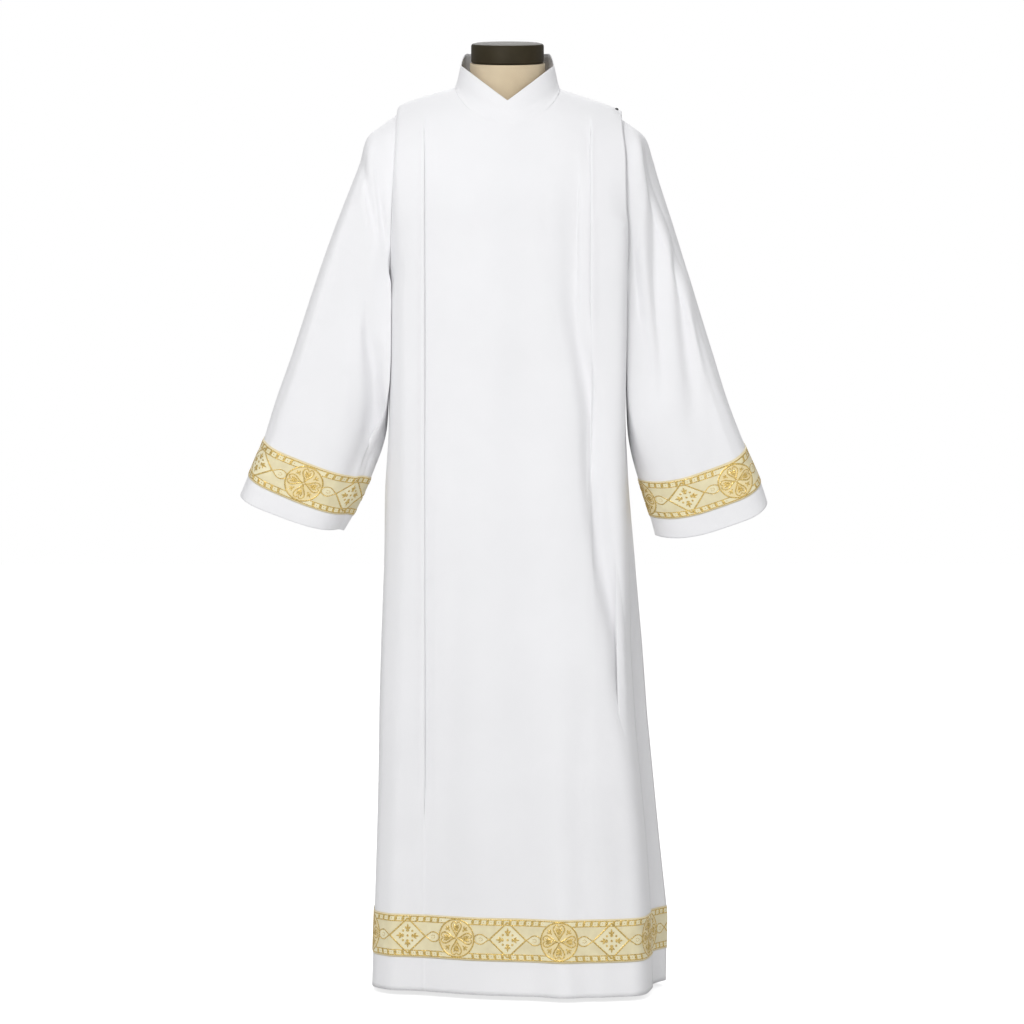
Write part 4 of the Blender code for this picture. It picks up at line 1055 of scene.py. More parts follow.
def galloon_ground():
    """Champagne satin, with whitish fields in lozenge, roundel, links and border, and a cream selvedge."""
    made, tree, shader = new_finish("galloon_ground", (0.76, 0.66, 0.41), 0.42, sheen_weight=0.25)
    plane = tree.nodes.new("ShaderNodeSeparateXYZ")
    tree.links.new(uv_of(tree, "galloon"), plane.inputs[0])
    u, v = plane.outputs[0], maths(tree, "ABSOLUTE", plane.outputs[1])
    half = REPEAT / WIDTH
    turn = maths(tree, "FRACT", maths(tree, "ADD", u, 0.5))
    a = maths(tree, "MULTIPLY", maths(tree, "ABSOLUTE", maths(tree, "SUBTRACT", turn, 0.5)), half)
    b = maths(tree, "SUBTRACT", half / 2, a)

    def inside(value):
        return maths(tree, "LESS_THAN", value, 1.0)

    def ratio(value, size):
        return maths(tree, "DIVIDE", value, size)

    def round_field(first, second):
        return maths(tree, "ADD", maths(tree, "POWER", first, 2.0), maths(tree, "POWER", second, 2.0))

    lozenge = inside(maths(tree, "ADD", ratio(a, LOZENGE_HALF), ratio(v, LOZENGE_TALL)))
    roundel = inside(round_field(ratio(b, ROUNDEL), ratio(v, ROUNDEL)))
    link = inside(round_field(ratio(maths(tree, "SUBTRACT", a, LINK_MIDDLE), LINK_HALF * 0.8),
                              ratio(v, LINK_TALL)))
    border = maths(tree, "MULTIPLY", maths(tree, "GREATER_THAN", v, INNER_LINE),
                   maths(tree, "LESS_THAN", v, OUTER_LINE))
    field = maths(tree, "MAXIMUM", lozenge, maths(tree, "MAXIMUM", link, border))
    selvedge = maths(tree, "GREATER_THAN", v, OUTER_LINE)
    tone = placed(tree, MOTTLE, space_of(tree), scale=60.0)["Tone"]
    satin = mixed(tree, tone, (0.77, 0.68, 0.43), (0.87, 0.79, 0.52))
    white = mixed(tree, tone, (0.86, 0.78, 0.50), (0.93, 0.86, 0.60))
    ochre = mixed(tree, tone, (0.84, 0.69, 0.36), (0.92, 0.78, 0.45))
    cream = mixed(tree, tone, (0.86, 0.74, 0.46), (0.93, 0.82, 0.55))
    colour = mixed(tree, selvedge, mixed(tree, roundel, mixed(tree, field, satin, white), ochre), cream)
    tree.links.new(colour, shader.inputs["Base Color"])
    rough = maths(tree, "ADD", maths(tree, "MULTIPLY", field, 0.2), 0.40)
    tree.links.new(rough, shader.inputs["Roughness"])
    weave = placed(tree, PLAIN_WEAVE, uv_of(tree, "thread"), threads=1800.0, slub=0.3)
    bumped(tree, shader, weave["Height"], 0.00012)
    return made


def lurex(name, dark, light):
    """Gold foil thread: glints from small facets along the twisted yarn."""
    made, tree, shader = new_finish(name, light, 0.36, 0.82)
    facets = node(tree, "ShaderNodeTexVoronoi", scale=1500.0)
    tree.links.new(space_of(tree), facets.inputs["Vector"])
    spread = tree.nodes.new("ShaderNodeSeparateColor")
    tree.links.new(facets.outputs["Color"], spread.inputs[0])
    toned(tree, shader, spread.outputs[0], dark, light)
    tree.links.new(maths(tree, "ADD", maths(tree, "MULTIPLY", spread.outputs[1], 0.28), 0.22),
                   shader.inputs["Roughness"])
    bumped(tree, shader, spread.outputs[2], 0.0004, 0.8)
    return made


class Band:
    """A strip of band along a grid's rows: maps the drawing's plane to the cloth's outside."""

    def __init__(self, grid, closed, part, shift):
        normals = grid_normals(grid, closed)[part]
        grid = grid[part]
        if closed:
            grid = np.concatenate((grid, grid[:, :1]), axis=1)
            normals = np.concatenate((normals, normals[:, :1]), axis=1)
        self.grid, self.normals = grid, normals
        middle = grid.shape[0] // 2
        self.run = lengths(grid, 1)[middle]
        self.down = np.linspace(0.5, -0.5, grid.shape[0])
        self.start, self.end = (self.run[0] - shift) / WIDTH, (self.run[-1] - shift) / WIDTH
        self.shift = shift

    def place(self, drawing, lift):
        """Points and normals on the cloth for points (u, v) of the drawing, in parts of the width."""
        drawing = np.asarray(drawing, float)
        across = np.clip(drawing[:, 0] * WIDTH + self.shift, self.run[0], self.run[-1])
        column = np.interp(across, self.run, np.arange(len(self.run)))
        row = (0.5 - np.clip(drawing[:, 1], -0.5, 0.5)) * (len(self.down) - 1)
        c = np.minimum(column.astype(int), len(self.run) - 2)
        r = np.minimum(row.astype(int), len(self.down) - 2)
        s, t = (column - c)[:, None], (row - r)[:, None]

        def blend(values):
            return ((values[r, c] * (1 - s) + values[r, c + 1] * s) * (1 - t)
                    + (values[r + 1, c] * (1 - s) + values[r + 1, c + 1] * s) * t)

        points, normals = blend(self.grid), blend(self.normals)
        normals /= np.linalg.norm(normals, axis=1, keepdims=True)
        return points + normals * (CLOTH / 2 + LIFT + TRIM + np.asarray(lift))[:, None]


class Drawing:
    """Gold work as it is drawn: corners (u, v, height) and faces."""

    def __init__(self):
        self.corners, self.faces = [], []

    def stroke(self, path, width, closed=False):
        """A rounded cord along a path; width is one number or one for each point."""
        path = np.asarray(path, float)
        widths = np.broadcast_to(np.asarray(width, float), len(path)) / 2
        if closed:
            heading = np.roll(path, -1, axis=0) - np.roll(path, 1, axis=0)
        else:
            heading = np.gradient(path, axis=0)
        heading /= np.maximum(np.linalg.norm(heading, axis=1, keepdims=True), 1e-9)
        side = np.stack((-heading[:, 1], heading[:, 0]), axis=1) * widths[:, None]
        base = len(self.corners)
        for point, away in zip(path, side):
            self.corners += [(*(point + away), 0.0), (*(point + away * 0.4), 0.85),
                             (*(point - away * 0.4), 0.85), (*(point - away), 0.0)]
        count = len(path)
        for index in range(count if closed else count - 1):
            a, b = base + index * 4, base + (index + 1) % count * 4
            self.faces += [(a + k, b + k, b + k + 1, a + k + 1) for k in range(3)]

    def leaf(self, base, tip, width, fullness=0.45):
        """A pointed leaf, raised along its middle."""
        base, tip = np.array(base, float), np.array(tip, float)
        along_it = tip - base
        side = np.array((-along_it[1], along_it[0])) / max(np.linalg.norm(along_it), 1e-9) * width / 2
        first = len(self.corners)
        self.corners.append((*base, 0.0))
        for t, share in ((0.22, 0.75), (fullness, 1.0), (0.75, 0.62)):
            middle = base + along_it * t
            self.corners += [(*(middle + side * share), 0.0), (*middle, 1.0), (*(middle - side * share), 0.0)]
        self.corners.append((*tip, 0.0))
        last = first + 10
        self.faces += [(first, first + 2, first + 1), (first, first + 3, first + 2)]
        for k in (1, 4):
            self.faces += [(first + k, first + k + 1, first + k + 4, first + k + 3),
                           (first + k + 1, first + k + 2, first + k + 5, first + k + 4)]
        self.faces += [(first + 7, first + 8, last), (first + 8, first + 9, last)]

    def dot(self, centre, radius, sides=8):
        first = len(self.corners)
        self.corners.append((*centre, 1.0))
        for step in range(sides):
            angle = 2 * math.pi * step / sides
            x, y = centre[0] + radius * math.cos(angle), centre[1] + radius * math.sin(angle)
            self.corners.append((x, y, 0.0))
        self.faces += [(first, first + 1 + step, first + 1 + (step + 1) % sides) for step in range(sides)]


def bezier(points, count):
    """Points of a cubic curve, its first point left out."""
    a, b, c, d = (np.array(point, float) for point in points)
    return [a * (1 - t) ** 3 + b * 3 * (1 - t) ** 2 * t + c * 3 * (1 - t) * t * t + d * t ** 3
            for t in (step / count for step in range(1, count + 1))]


def turned_to(point, quarter, centre):
    """A drawing's point turned by quarters of a circle about a centre."""
    x, y = point
    for _ in range(quarter):
        x, y = -y, x
    return centre + x, y


SPRIG = table("along side tip_along tip_side width",
              (0.085, 0.000, 0.285, 0.000, 0.062), (0.140, 0.006, 0.215, 0.072, 0.046),
              (0.140, -0.006, 0.215, -0.072, 0.046), (0.090, 0.004, 0.135, 0.045, 0.028),
              (0.090, -0.004, 0.135, -0.045, 0.028))
PALMETTE = table("along side tip_along tip_side width",
                 (0.150, 0.000, 0.340, 0.000, 0.044), (0.160, 0.006, 0.232, 0.054, 0.038),
                 (0.160, -0.006, 0.232, -0.054, 0.038), (0.200, 0.006, 0.276, 0.080, 0.042),
                 (0.200, -0.006, 0.276, -0.080, 0.042), (0.242, 0.006, 0.324, 0.072, 0.040),
                 (0.242, -0.006, 0.324, -0.072, 0.040), (0.110, 0.000, 0.165, 0.000, 0.030))
CORNER_SPRIG = table("along side tip_along tip_side width",
                     (0.245, 0.000, 0.385, 0.000, 0.046), (0.275, 0.004, 0.345, 0.066, 0.038),
                     (0.275, -0.004, 0.345, -0.066, 0.038), (0.225, 0.000, 0.275, 0.000, 0.046))
PETAL_SIDE = (((0.035, 0.000), (0.130, 0.020), (0.205, 0.128), (0.290, 0.126)),
              ((0.290, 0.126), (0.375, 0.124), (0.415, 0.030), (0.335, 0.014)))


def sprig_leaves(drawing, leaves, centre, quarter, diagonal=False):
    lean = math.sqrt(0.5)
    for index in range(len(leaves["width"])):
        ends = []
        for a, s in ((leaves["along"][index], leaves["side"][index]),
                     (leaves["tip_along"][index], leaves["tip_side"][index])):
            point = ((a - s) * lean, (a + s) * lean) if diagonal else (a, s)
            ends.append(turned_to(point, quarter, centre))
        drawing.leaf(ends[0], ends[1], leaves["width"][index])


def draw_lozenge(drawing, centre):
    tips = [(LOZENGE_HALF, 0), (0, LOZENGE_TALL), (-LOZENGE_HALF, 0), (0, -LOZENGE_TALL)]
    for start, end in zip(tips, tips[1:] + tips[:1]):
        a, b = np.array(start), np.array(end)
        path = [a + (b - a) * t + (centre, 0) for t in np.linspace(0.0, 1.0, 22)]
        drawing.stroke(path, OUTLINE)
    drawing.dot((centre, 0), 0.030)
    for quarter in range(4):
        sprig_leaves(drawing, SPRIG, centre, quarter)
        drawing.dot(turned_to((0.112, 0.110), quarter, centre), 0.028)


def draw_roundel(drawing, centre):
    ring = [(centre + ROUNDEL * math.cos(a), ROUNDEL * math.sin(a))
            for a in np.linspace(0, 2 * math.pi, 96, endpoint=False)]
    drawing.stroke(ring, OUTLINE, closed=True)
    for quarter in range(4):
        half = [np.array(PETAL_SIDE[0][0])]
        for piece in PETAL_SIDE:
            half += bezier(piece, 12)
        for hand in (1, -1):
            path = [turned_to((x, y * hand), quarter, centre) for x, y in half]
            drawing.stroke(path, np.linspace(0.036, 0.026, len(path)))
        sprig_leaves(drawing, PALMETTE, centre, quarter)
        sprig_leaves(drawing, CORNER_SPRIG, centre, quarter, diagonal=True)
    knot = [turned_to((0.036, 0), quarter, centre) for quarter in range(4)]
    drawing.stroke([knot[0], knot[1], knot[2], knot[3]], 0.018, closed=True)


def draw_link(drawing, centre, hand):
    """A teardrop from the lozenge's tip to the roundel, with a ring of dots in it."""
    tip = centre + hand * LOZENGE_HALF
    end = centre + hand * (REPEAT / WIDTH / 2 - ROUNDEL)
    middle = tip + (end - tip) * 0.58
    for side in (1, -1):
        path = [np.array((tip, 0.0))]
        path += bezier(((tip, 0), (tip + (middle - tip) * 0.4, side * 0.035),
                        (tip + (middle - tip) * 0.6, side * LINK_TALL), (middle, side * LINK_TALL)), 10)
        path += bezier(((middle, side * LINK_TALL), (middle + (end - middle) * 0.6, side * LINK_TALL),
                        (end, side * 0.06), (end, 0)), 10)
        drawing.stroke(path, 0.026)
    heart = tip + (end - tip) * 0.56
    for step in range(7):
        angle = math.pi + hand * math.pi + (step - 3) * 0.78
        drawing.dot((heart + 0.045 * math.cos(angle), 0.036 * math.sin(angle)), 0.011, 6)


def draw_border(drawing, first, last):
    """Thin lines and slanted S leaves with a dot between them, along both edges."""
    cell = REPEAT / WIDTH / BORDER_CELLS
    tall = OUTER_LINE - INNER_LINE
    for edge in (1, -1):
        for level in (OUTER_LINE, INNER_LINE):
            count = max(2, int((last - first) / 0.04))
            path = [(u, edge * level) for u in np.linspace(first, last, count)]
            if level == INNER_LINE:
                cut = []
                for u, v in path:
                    turn = (u * WIDTH / REPEAT) % 1.0 * REPEAT / WIDTH
                    off = abs(turn - REPEAT / WIDTH / 2)
                    if off < math.sqrt(ROUNDEL ** 2 - INNER_LINE ** 2):
                        if len(cut) > 1:
                            drawing.stroke(cut, FINE_LINE)
                        cut = []
                    else:
                        cut.append((u, v))
                if len(cut) > 1:
                    drawing.stroke(cut, FINE_LINE)
            else:
                drawing.stroke(path, FINE_LINE)
        for step in range(math.floor(first / cell), math.ceil(last / cell)):
            u = (step + 0.5) * cell
            turn = (u * WIDTH / REPEAT) % 1.0 * REPEAT / WIDTH
            off = abs(turn - REPEAT / WIDTH / 2)
            near_tip = min(turn, REPEAT / WIDTH - turn) < 0.055
            if off < ROUNDEL * 0.86 or near_tip or not first < u - cell / 2 < u + cell / 2 < last:
                continue
            low, high = edge * INNER_LINE, edge * OUTER_LINE
            foot, head = (u - cell * 0.42, low), (u + cell * 0.10, high)
            path = [np.array(foot)] + bezier((foot, (u - cell * 0.02, low + edge * tall * 0.05),
                                              (u - cell * 0.36, high - edge * tall * 0.10), head), 9)
            drawing.stroke(path, np.interp(np.linspace(0, 1, len(path)), (0, 0.5, 1), (0.030, 0.072, 0.030)))
            drawing.dot((u + cell * 0.30, edge * (INNER_LINE + tall * 0.5)), 0.012, 6)


def galloon(name, grid, closed, part, shift, ground, gold, thread, node_name):
    """One band: its woven ground, the gold work on it and the two rows of stitches along its edges."""
    band = Band(grid, closed, part, shift)
    span = band.end - band.start
    columns = max(8, int(span * WIDTH / 0.0030))
    flat = np.stack(np.meshgrid(np.linspace(band.start, band.end, columns + 1),
                                np.linspace(0.5, -0.5, 15)), axis=2)
    faces = []
    index = np.arange(15 * (columns + 1)).reshape(15, columns + 1)
    count = index.size
    a, b = index[:-1, :-1].ravel(), index[:-1, 1:].ravel()
    c, d = index[1:, 1:].ravel(), index[1:, :-1].ravel()
    faces = np.concatenate((np.stack((d, c, b, a), axis=1), np.stack((a, b, c, d), axis=1) + count))
    for rim in (index[0], index[-1][::-1], index[:, 0][::-1], index[:, -1]):
        p, q = rim[:-1], rim[1:]
        faces = np.concatenate((faces, np.stack((p, q, q + count, p + count), axis=1)))
    plane = flat.reshape(-1, 2)
    points = np.concatenate((band.place(plane, np.zeros(count)), band.place(plane, np.full(count, -TRIM))))
    uvs = np.concatenate((plane, plane))
    cloth = new_piece(name, points, faces.tolist(), ground, uvs * WIDTH, "thread")
    pattern = uvs * np.array((WIDTH / REPEAT, 1.0))
    corners = np.empty(len(cloth.data.loops), dtype=np.int32)
    cloth.data.loops.foreach_get("vertex_index", corners)
    layer = cloth.data.uv_layers.new(name="galloon")
    layer.data.foreach_set("uv", pattern[corners].astype(np.float32).ravel())
    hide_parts(node_name)

    drawing = Drawing()
    repeat = REPEAT / WIDTH
    margin = 0.03
    for step in range(math.floor(band.start / repeat) - 1, math.ceil(band.end / repeat) + 2):
        draw_lozenge(drawing, step * repeat)
        draw_link(drawing, step * repeat, 1)
        draw_link(drawing, step * repeat, -1)
        draw_roundel(drawing, (step + 0.5) * repeat)
    draw_border(drawing, band.start + margin, band.end - margin)
    corners = np.array(drawing.corners)
    inside = (corners[:, 0] > band.start + margin / 2) & (corners[:, 0] < band.end - margin / 2)
    kept = [face for face in drawing.faces if all(inside[corner] for corner in face)]
    used = sorted({corner for face in kept for corner in face})
    renumber = {old: new for new, old in enumerate(used)}
    corners = corners[used]
    kept = [tuple(renumber[corner] for corner in face) for face in kept]
    points = band.place(corners[:, :2], GOLD_LIFT + corners[:, 2] * GOLD_HEIGHT)
    work = new_piece(name + "_gold", points, kept, gold)

    for level in (STITCH_LINE, -STITCH_LINE):
        path = [(u, level) for u in np.linspace(band.start, band.end, columns + 1)]
        spots = band.place(path, np.zeros(len(path)))
        ups = band.place(path, np.full(len(path), 1.0)) - spots
        thread_row(name + ("_stitch_top" if level > 0 else "_stitch_foot"), spots, ups, thread)
    return cloth


# ---- form and stand
FORM_CLEARANCE = 0.0006
FORM_RING = 96
TURNED_SHARP = 35          # degrees from which a turned part's edge is sharp
NECK_RADIUS = 0.0595
FORM = table(
    "z      half   depth  power lean",
    (0.7230, 0.140, 0.084, 2.3, 0.0), (0.7330, 0.153, 0.095, 2.3, 0.0), (0.7880, 0.160, 0.101, 2.3, 0.0),
    (0.8680, 0.158, 0.099, 2.3, 0.0), (0.9680, 0.146, 0.090, 2.3, 0.0), (1.0680, 0.151, 0.093, 2.3, 0.0),
    (1.1680, 0.158, 0.095, 2.3, 0.0), (1.2380, 0.161, 0.093, 2.3, 0.0), (1.2980, 0.162, 0.086, 2.2, 0.0),
    (1.3480, 0.160, 0.076, 1.9, 0.0), (1.3780, 0.155, 0.066, 1.6, 0.0), (1.3940, 0.147, 0.0600, 1.2, 0.0),
    (1.4050, 0.0, 0.0590, 1.00, 0.0), (1.4150, 0.0, 0.0590, 0.92, 0.0), (1.4220, 0.0, 0.0592, 1.00, 0.0),
    (1.4300, 0.0605, 0.0595, 2.0, 0.02), (1.4380, 0.0598, 0.0593, 2.0, 0.05),
    (1.4520, 0.0593, 0.0593, 2.0, 0.09), (1.4640, 0.0593, 0.0593, 2.0, 0.114))
CAP = table("z radius", (1.4648, 0.0560), (1.4668, 0.0575), (1.4915, 0.0575), (1.4945, 0.0560),
            (1.4960, 0.0500))
CAP_LEAN = 0.114
POLE_RADIUS = 0.0125
BASE = table("z radius", (0.0, 0.110), (0.0042, 0.110), (0.0055, 0.108), (0.0062, 0.030),
             (0.0140, 0.022), (0.0150, 0.020))
PART_GAP = 0.0003
SNAP_PLACE = (0.1705, -0.006, 1.3870)
SNAP_RADIUS = 0.0029
SNAP_RISE = 0.0018


def turned(name, rings, finish, node_name):
    """A closed solid through rings of points, with the way around and up it as UVs."""
    rings = np.array(rings)
    count, sides = rings.shape[:2]
    around = np.concatenate((rings, rings[:, :1]), axis=1)
    points = around.reshape(-1, 3)
    index = np.arange(count * (sides + 1)).reshape(count, sides + 1)
    a, b = index[:-1, :-1].ravel(), index[:-1, 1:].ravel()
    c, d = index[1:, 1:].ravel(), index[1:, :-1].ravel()
    faces = np.stack((a, b, c, d), axis=1).tolist()
    faces.append(index[0, :-1][::-1].tolist())
    faces.append(index[-1, :-1].tolist())
    uvs = np.stack((lengths(around, 1), lengths(around, 0)), axis=2).reshape(-1, 2)
    made = new_piece(name, points, faces, finish, uvs)
    weld(made)
    made.data.set_sharp_from_angle(angle=math.radians(TURNED_SHARP))
    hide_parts(node_name)
    return made


def form_rings():
    """Rings of the torso and neck, finer than the solid's."""
    rings = []
    for index, z in enumerate(FORM["z"]):
        half = FORM["half"][index]
        if half == 0.0:
            rise = SHOULDER_NECK_Z - FORM_CLEARANCE * 2 - z
            soft = math.hypot(SHOULDER_NECK_X, SHOULDER_EASE) + rise / SHOULDER_SLOPE
            half = math.sqrt(soft * soft - SHOULDER_EASE ** 2)
        ring = []
        for step in range(FORM_RING):
            angle = 2 * math.pi * step / FORM_RING
            exponent = 2 / FORM["power"][index]
            x = half * power(math.cos(angle), exponent)
            y = FORM["depth"][index] * power(math.sin(angle), exponent)
            if FORM["half"][index] == 0.0 and abs(x) < NECK_RADIUS:
                y = math.copysign(max(abs(y), math.sqrt(NECK_RADIUS ** 2 - x * x)), y)
            ring.append((x, y, z + FORM["lean"][index] * y))
        rings.append(ring)
    return rings


def round_rings(profile, lean=0.0, sides=72):
    rings = []
    for z, radius in zip(profile["z"], profile["radius"]):
        angles = [2 * math.pi * step / sides for step in range(sides)]
        rings.append([(radius * math.cos(a), radius * math.sin(a), z + lean * radius * math.sin(a))
                      for a in angles])
    return rings


def softened(piece, width, segments=3):
    """Rounded edges where a hard piece has corners."""
    bevel = piece.modifiers.new("rounded", "BEVEL")
    bevel.width, bevel.segments, bevel.limit_method = width, segments, "ANGLE"
    bevel.angle_limit = math.radians(30)
    return piece


# ---- the stage
def studio():
    """Pale floor, soft light from the front left and the camera."""
    scene = bpy.context.scene
    scene.view_settings.view_transform = "Standard"
    floor_finish, tree, shader = new_finish("studio_floor", (0.6, 0.6, 0.6), 0.9)
    grain = node(tree, "ShaderNodeTexNoise", scale=30.0)
    toned(tree, shader, grain.outputs[0], (0.59, 0.59, 0.59), (0.61, 0.61, 0.61))
    seen = tree.nodes.new("ShaderNodeLightPath").outputs["Is Camera Ray"]
    shader.inputs["Emission Color"].default_value = (1.0, 1.0, 1.0, 1.0)
    tree.links.new(maths(tree, "MULTIPLY", seen, FLOOR_GLOW), shader.inputs["Emission Strength"])
    mesh = bpy.data.meshes.new("floor")
    half = FLOOR_HALF
    corners = [(-half, -half, 0), (half, -half, 0), (half, half, 0), (-half, half, 0)]
    mesh.from_pydata(corners, [], [(0, 1, 2, 3)])
    mesh.materials.append(floor_finish)
    floor = bpy.data.objects.new("floor", mesh)
    scene.collection.objects.link(floor)

    world = bpy.data.worlds.new("studio_air")
    world.use_nodes = True
    scene.world = world
    air = world.node_tree
    shown, given = air.nodes["Background"], air.nodes.new("ShaderNodeBackground")
    shown.inputs[0].default_value = given.inputs[0].default_value = (1.0, 1.0, 1.0, 1.0)
    shown.inputs[1].default_value, given.inputs[1].default_value = 1.0, AIR_LIGHT
    either, path = air.nodes.new("ShaderNodeMixShader"), air.nodes.new("ShaderNodeLightPath")
    air.links.new(path.outputs["Is Camera Ray"], either.inputs[0])
    air.links.new(given.outputs[0], either.inputs[1])
    air.links.new(shown.outputs[0], either.inputs[2])
    air.links.new(either.outputs[0], air.nodes["World Output"].inputs[0])
    lights = table("x y z size watts", *SOFTBOXES)
    for index in range(len(lights["x"])):
        lamp = bpy.data.lights.new("softbox_%d" % index, "AREA")
        lamp.size = lights["size"][index]
        lamp.energy = lights["watts"][index]
        holder = bpy.data.objects.new(lamp.name, lamp)
        holder.location = (lights["x"][index], lights["y"][index], lights["z"][index])
        aim = Vector((0.0, 0.0, LIGHT_AIM_Z)) - Vector(holder.location)
        holder.rotation_euler = aim.to_track_quat("-Z", "Y").to_euler()
        scene.collection.objects.link(holder)

    lens = bpy.data.cameras.new("camera")
    camera = bpy.data.objects.new("camera", lens)
    camera.location = (0.0, -CAMERA_FAR, CAMERA_Z)
    camera.rotation_euler = (math.pi / 2 - math.atan((CAMERA_Z - AIM_Z) / CAMERA_FAR), 0.0, 0.0)
    lens.sensor_width = 36.0
    lens.lens = lens.sensor_width * CAMERA_FAR / FRAME_WIDTH
    lens.shift_x = SHIFT_X
    scene.collection.objects.link(camera)
    scene.camera = camera


FLOOR_HALF = 12.0
FLOOR_GLOW = 0.75          # keeps the pale floor white where little light falls
AIR_LIGHT = 0.55           # light from all around
SOFTBOXES = ((-1.6, -4.6, 3.3, 1.8, 128.0), (2.6, -4.4, 2.2, 1.8, 36.0), (0.0, 2.6, 3.4, 2.0, 60.0))
LIGHT_AIM_Z = 1.1
CAMERA_FAR = 7.0           # the camera stands this far in front of the side seams
CAMERA_Z = 1.060
AIM_Z = 0.7547             # height in the middle of the view
FRAME_WIDTH = 1.6230       # metres across the view at the side seams
SHIFT_X = 0.0044


# ---- making
def build_finishes():
    cloth = woven_cloth("alb_polyester", (0.835, 0.835, 0.852), (0.885, 0.885, 0.902), 2600.0, 0.00008,
                        0.70, sheen_weight=0.12, specular_ior_level=0.35)
    linen = woven_cloth("form_linen", (0.70, 0.55, 0.36), (0.86, 0.72, 0.50), 1300.0, 0.00030,
                        0.88, slub=0.9, mottling=14.0, sheen_weight=0.2)
    ground = galloon_ground()
    gold = lurex("gold_lurex", (0.46, 0.28, 0.06), (1.00, 0.78, 0.30))
    sewing = woven_cloth("white_thread", (0.82, 0.82, 0.83), (0.90, 0.90, 0.91), 4000.0, 0.00005, 0.5)
    cream = woven_cloth("cream_thread", (0.70, 0.58, 0.30), (0.86, 0.76, 0.50), 4000.0, 0.00005, 0.5)
    lacquer, tree, shader = new_finish("form_cap_lacquer", (0.032, 0.025, 0.014), 0.55,
                                       specular_ior_level=0.12)
    tone = placed(tree, MOTTLE, space_of(tree), scale=25.0)["Tone"]
    toned(tree, shader, tone, (0.026, 0.020, 0.010), (0.038, 0.030, 0.016))
    bumped(tree, shader, tone, 0.0002, 0.4)
    enamel, tree, shader = new_finish("stand_enamel", (0.80, 0.80, 0.80), 0.35, coat_weight=0.4)
    tone = placed(tree, MOTTLE, space_of(tree), scale=180.0)["Tone"]
    toned(tree, shader, tone, (0.77, 0.77, 0.77), (0.82, 0.82, 0.82))
    bumped(tree, shader, tone, 0.0001, 0.3)
    dark, tree, shader = new_finish("snap_metal", (0.08, 0.08, 0.08), 0.3, 0.9)
    tone = placed(tree, MOTTLE, space_of(tree), scale=900.0)["Tone"]
    toned(tree, shader, tone, (0.05, 0.05, 0.05), (0.12, 0.12, 0.12))
    return {"cloth": cloth, "linen": linen, "ground": ground, "gold": gold, "sewing": sewing,
            "cream": cream, "lacquer": lacquer, "enamel": enamel, "snap": dark}


def parts_of(grid, *pleats):
    """How finely each step between two columns is parted: the pleats' folds are rounded."""
    least = [1] * (grid.shape[1] - 1)
    for first, last in pleats:
        least[first - 1:last] = [4] * (last - first + 1)
    return least


def sew_body(finish):
    rows, band = rows_of_body()
    front = np.array([front_row(turn, z) for turn, z in rows])
    back = np.array([back_row(turn, z) for turn, z in rows])
    under = under_grid(front, rows)
    pleats = ((SIDE_PARTS, SIDE_PARTS + 7), (front.shape[1] - EDGE_PARTS - 7, front.shape[1] - EDGE_PARTS))
    front = creased(finer(front, SPAN, parts_of(front, *pleats)), FRONT_CREASES, FRONT_TROUGHS, -1, 11.0)
    pleats = ((SIDE_PARTS, SIDE_PARTS + 7), (back.shape[1] - SIDE_PARTS - 7, back.shape[1] - SIDE_PARTS))
    back = creased(finer(back, SPAN, parts_of(back, *pleats)), BACK_CREASES, BACK_TROUGHS, 1, 23.0)
    under = finer(under, SPAN, parts_of(under))
    for name, grid in (("wrap_front", front), ("back", back), ("under_front", under)):
        piece = shell(name + "_cloth", grid, finish["cloth"], CLOTH)
        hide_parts(name)
        short = name.split("_")[0]
        middle = lengths(grid, 1)[(band.start + band.stop) // 2]
        centre = np.argmin(np.abs(grid[band.start, :, 0]) + 9 * (np.abs(grid[band.start, :, 0]) > 0.05))
        shift = middle[centre] if name != "under_front" else middle[-1] + 0.02
        galloon("hem_galloon_" + short, grid, False, band, shift, finish["ground"], finish["gold"],
                finish["cream"], "hem_band_" + short)
    normals = grid_normals(front, False)
    inset = -4
    thread_row("edge_stitch_wrap", front[:, inset] + normals[:, inset] * CLOTH * 0.5, normals[:, inset],
               finish["sewing"])
    return front


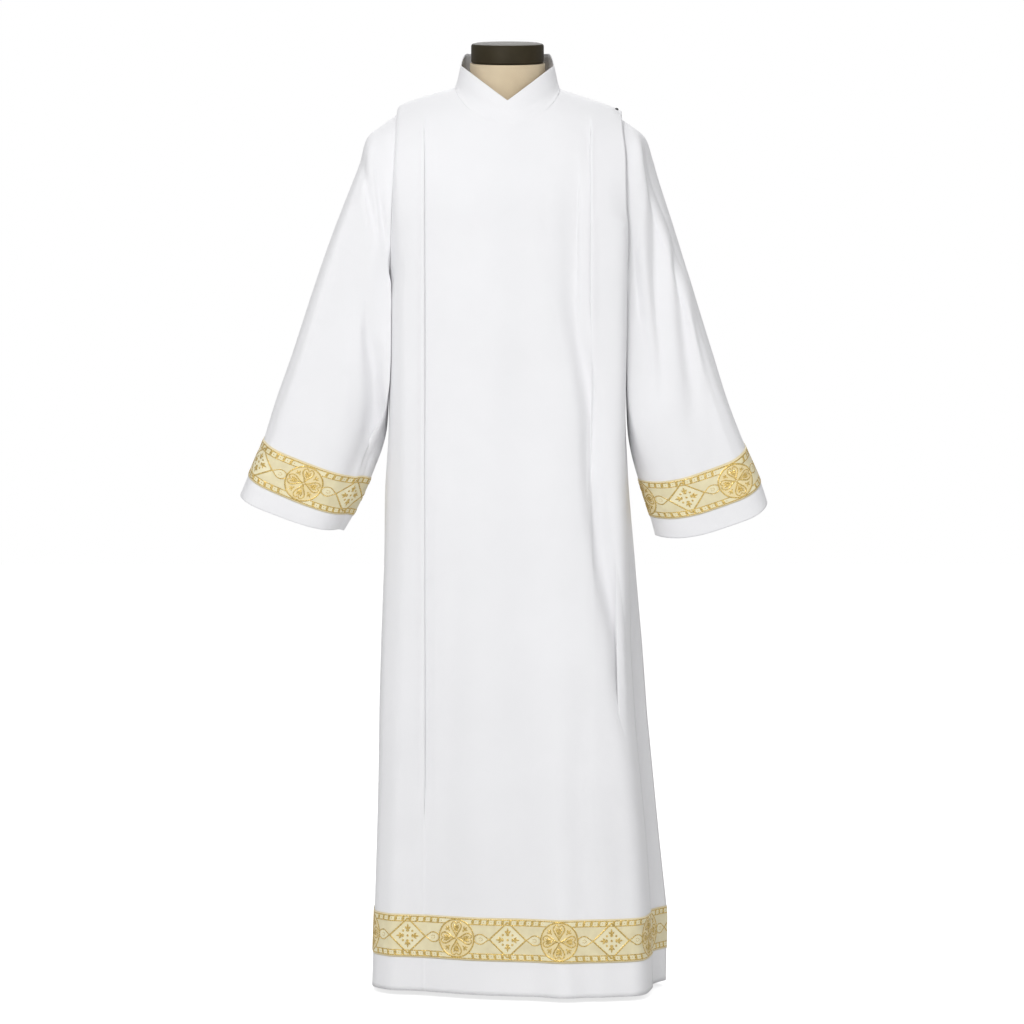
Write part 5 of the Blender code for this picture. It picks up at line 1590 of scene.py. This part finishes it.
def sew_sleeves(finish):
    band = sleeve_rows()[1]
    for name, hand, sizes, folds, creases, troughs, seed in (
            ("left", -1, LEFT_SLEEVE, LEFT_SLEEVE_FOLDS, LEFT_SLEEVE_CREASES, LEFT_SLEEVE_TROUGHS, 37.0),
            ("right", 1, RIGHT_SLEEVE, RIGHT_SLEEVE_FOLDS, RIGHT_SLEEVE_CREASES, RIGHT_SLEEVE_TROUGHS, 51.0)):
        grid = sleeve_grid(hand, sizes, folds, creases, troughs, seed)
        piece = shell("sleeve_%s_cloth" % name, grid, finish["cloth"], CLOTH, closed=True)
        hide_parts("sleeve_" + name)
        galloon("cuff_galloon_" + name, grid, True, band, CUFF_START[name], finish["ground"], finish["gold"],
                finish["cream"], "cuff_band_" + name)


def sew_collar(finish):
    grid = collar_grid()
    piece = shell("collar_cloth", grid, finish["cloth"], COLLAR_CLOTH, closed=True)
    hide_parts("collar")


def press_snap(wrap, finish):
    """The small snap head on the wrap's shoulder corner."""
    away = np.linalg.norm(wrap - np.array(SNAP_PLACE), axis=2)
    spot = np.unravel_index(np.argmin(away), away.shape)
    foot, normal = wrap[spot], grid_normals(wrap, False)[spot]
    side = np.cross(normal, (0, 1, 0))
    side /= np.linalg.norm(side)
    other = np.cross(normal, side)
    rings = []
    for height, radius in ((0.0, 0.8), (0.0, 1.0), (0.3, 1.0), (0.65, 0.88), (0.9, 0.6), (1.0, 0.25)):
        lift = CLOTH / 2 + height * SNAP_RISE
        rings.append([foot + normal * lift + (side * math.cos(a) + other * math.sin(a)) * radius * SNAP_RADIUS
                      for a in np.linspace(0, 2 * math.pi, 28, endpoint=False)])
    turned("snap_head", rings, finish["snap"], "shoulder_snap")


def dress_form(finish):
    turned("form_torso", form_rings(), finish["linen"], "form_body")
    softened(turned("form_neck_cap", round_rings(CAP, CAP_LEAN), finish["lacquer"], "form_cap"), 0.0008)
    pole = table("z radius", (BASE["z"][-1] + PART_GAP, POLE_RADIUS), (FORM["z"][0] - PART_GAP, POLE_RADIUS))
    turned("stand_pole_tube", round_rings(pole, sides=48), finish["enamel"], "stand_pole")
    softened(turned("stand_base_plate", round_rings(BASE), finish["enamel"], "stand_base"), 0.0006)


def main():
    finish = build_finishes()
    studio()
    wrap = sew_body(finish)
    sew_sleeves(finish)
    sew_collar(finish)
    dress_form(finish)
    press_snap(wrap, finish)


main()
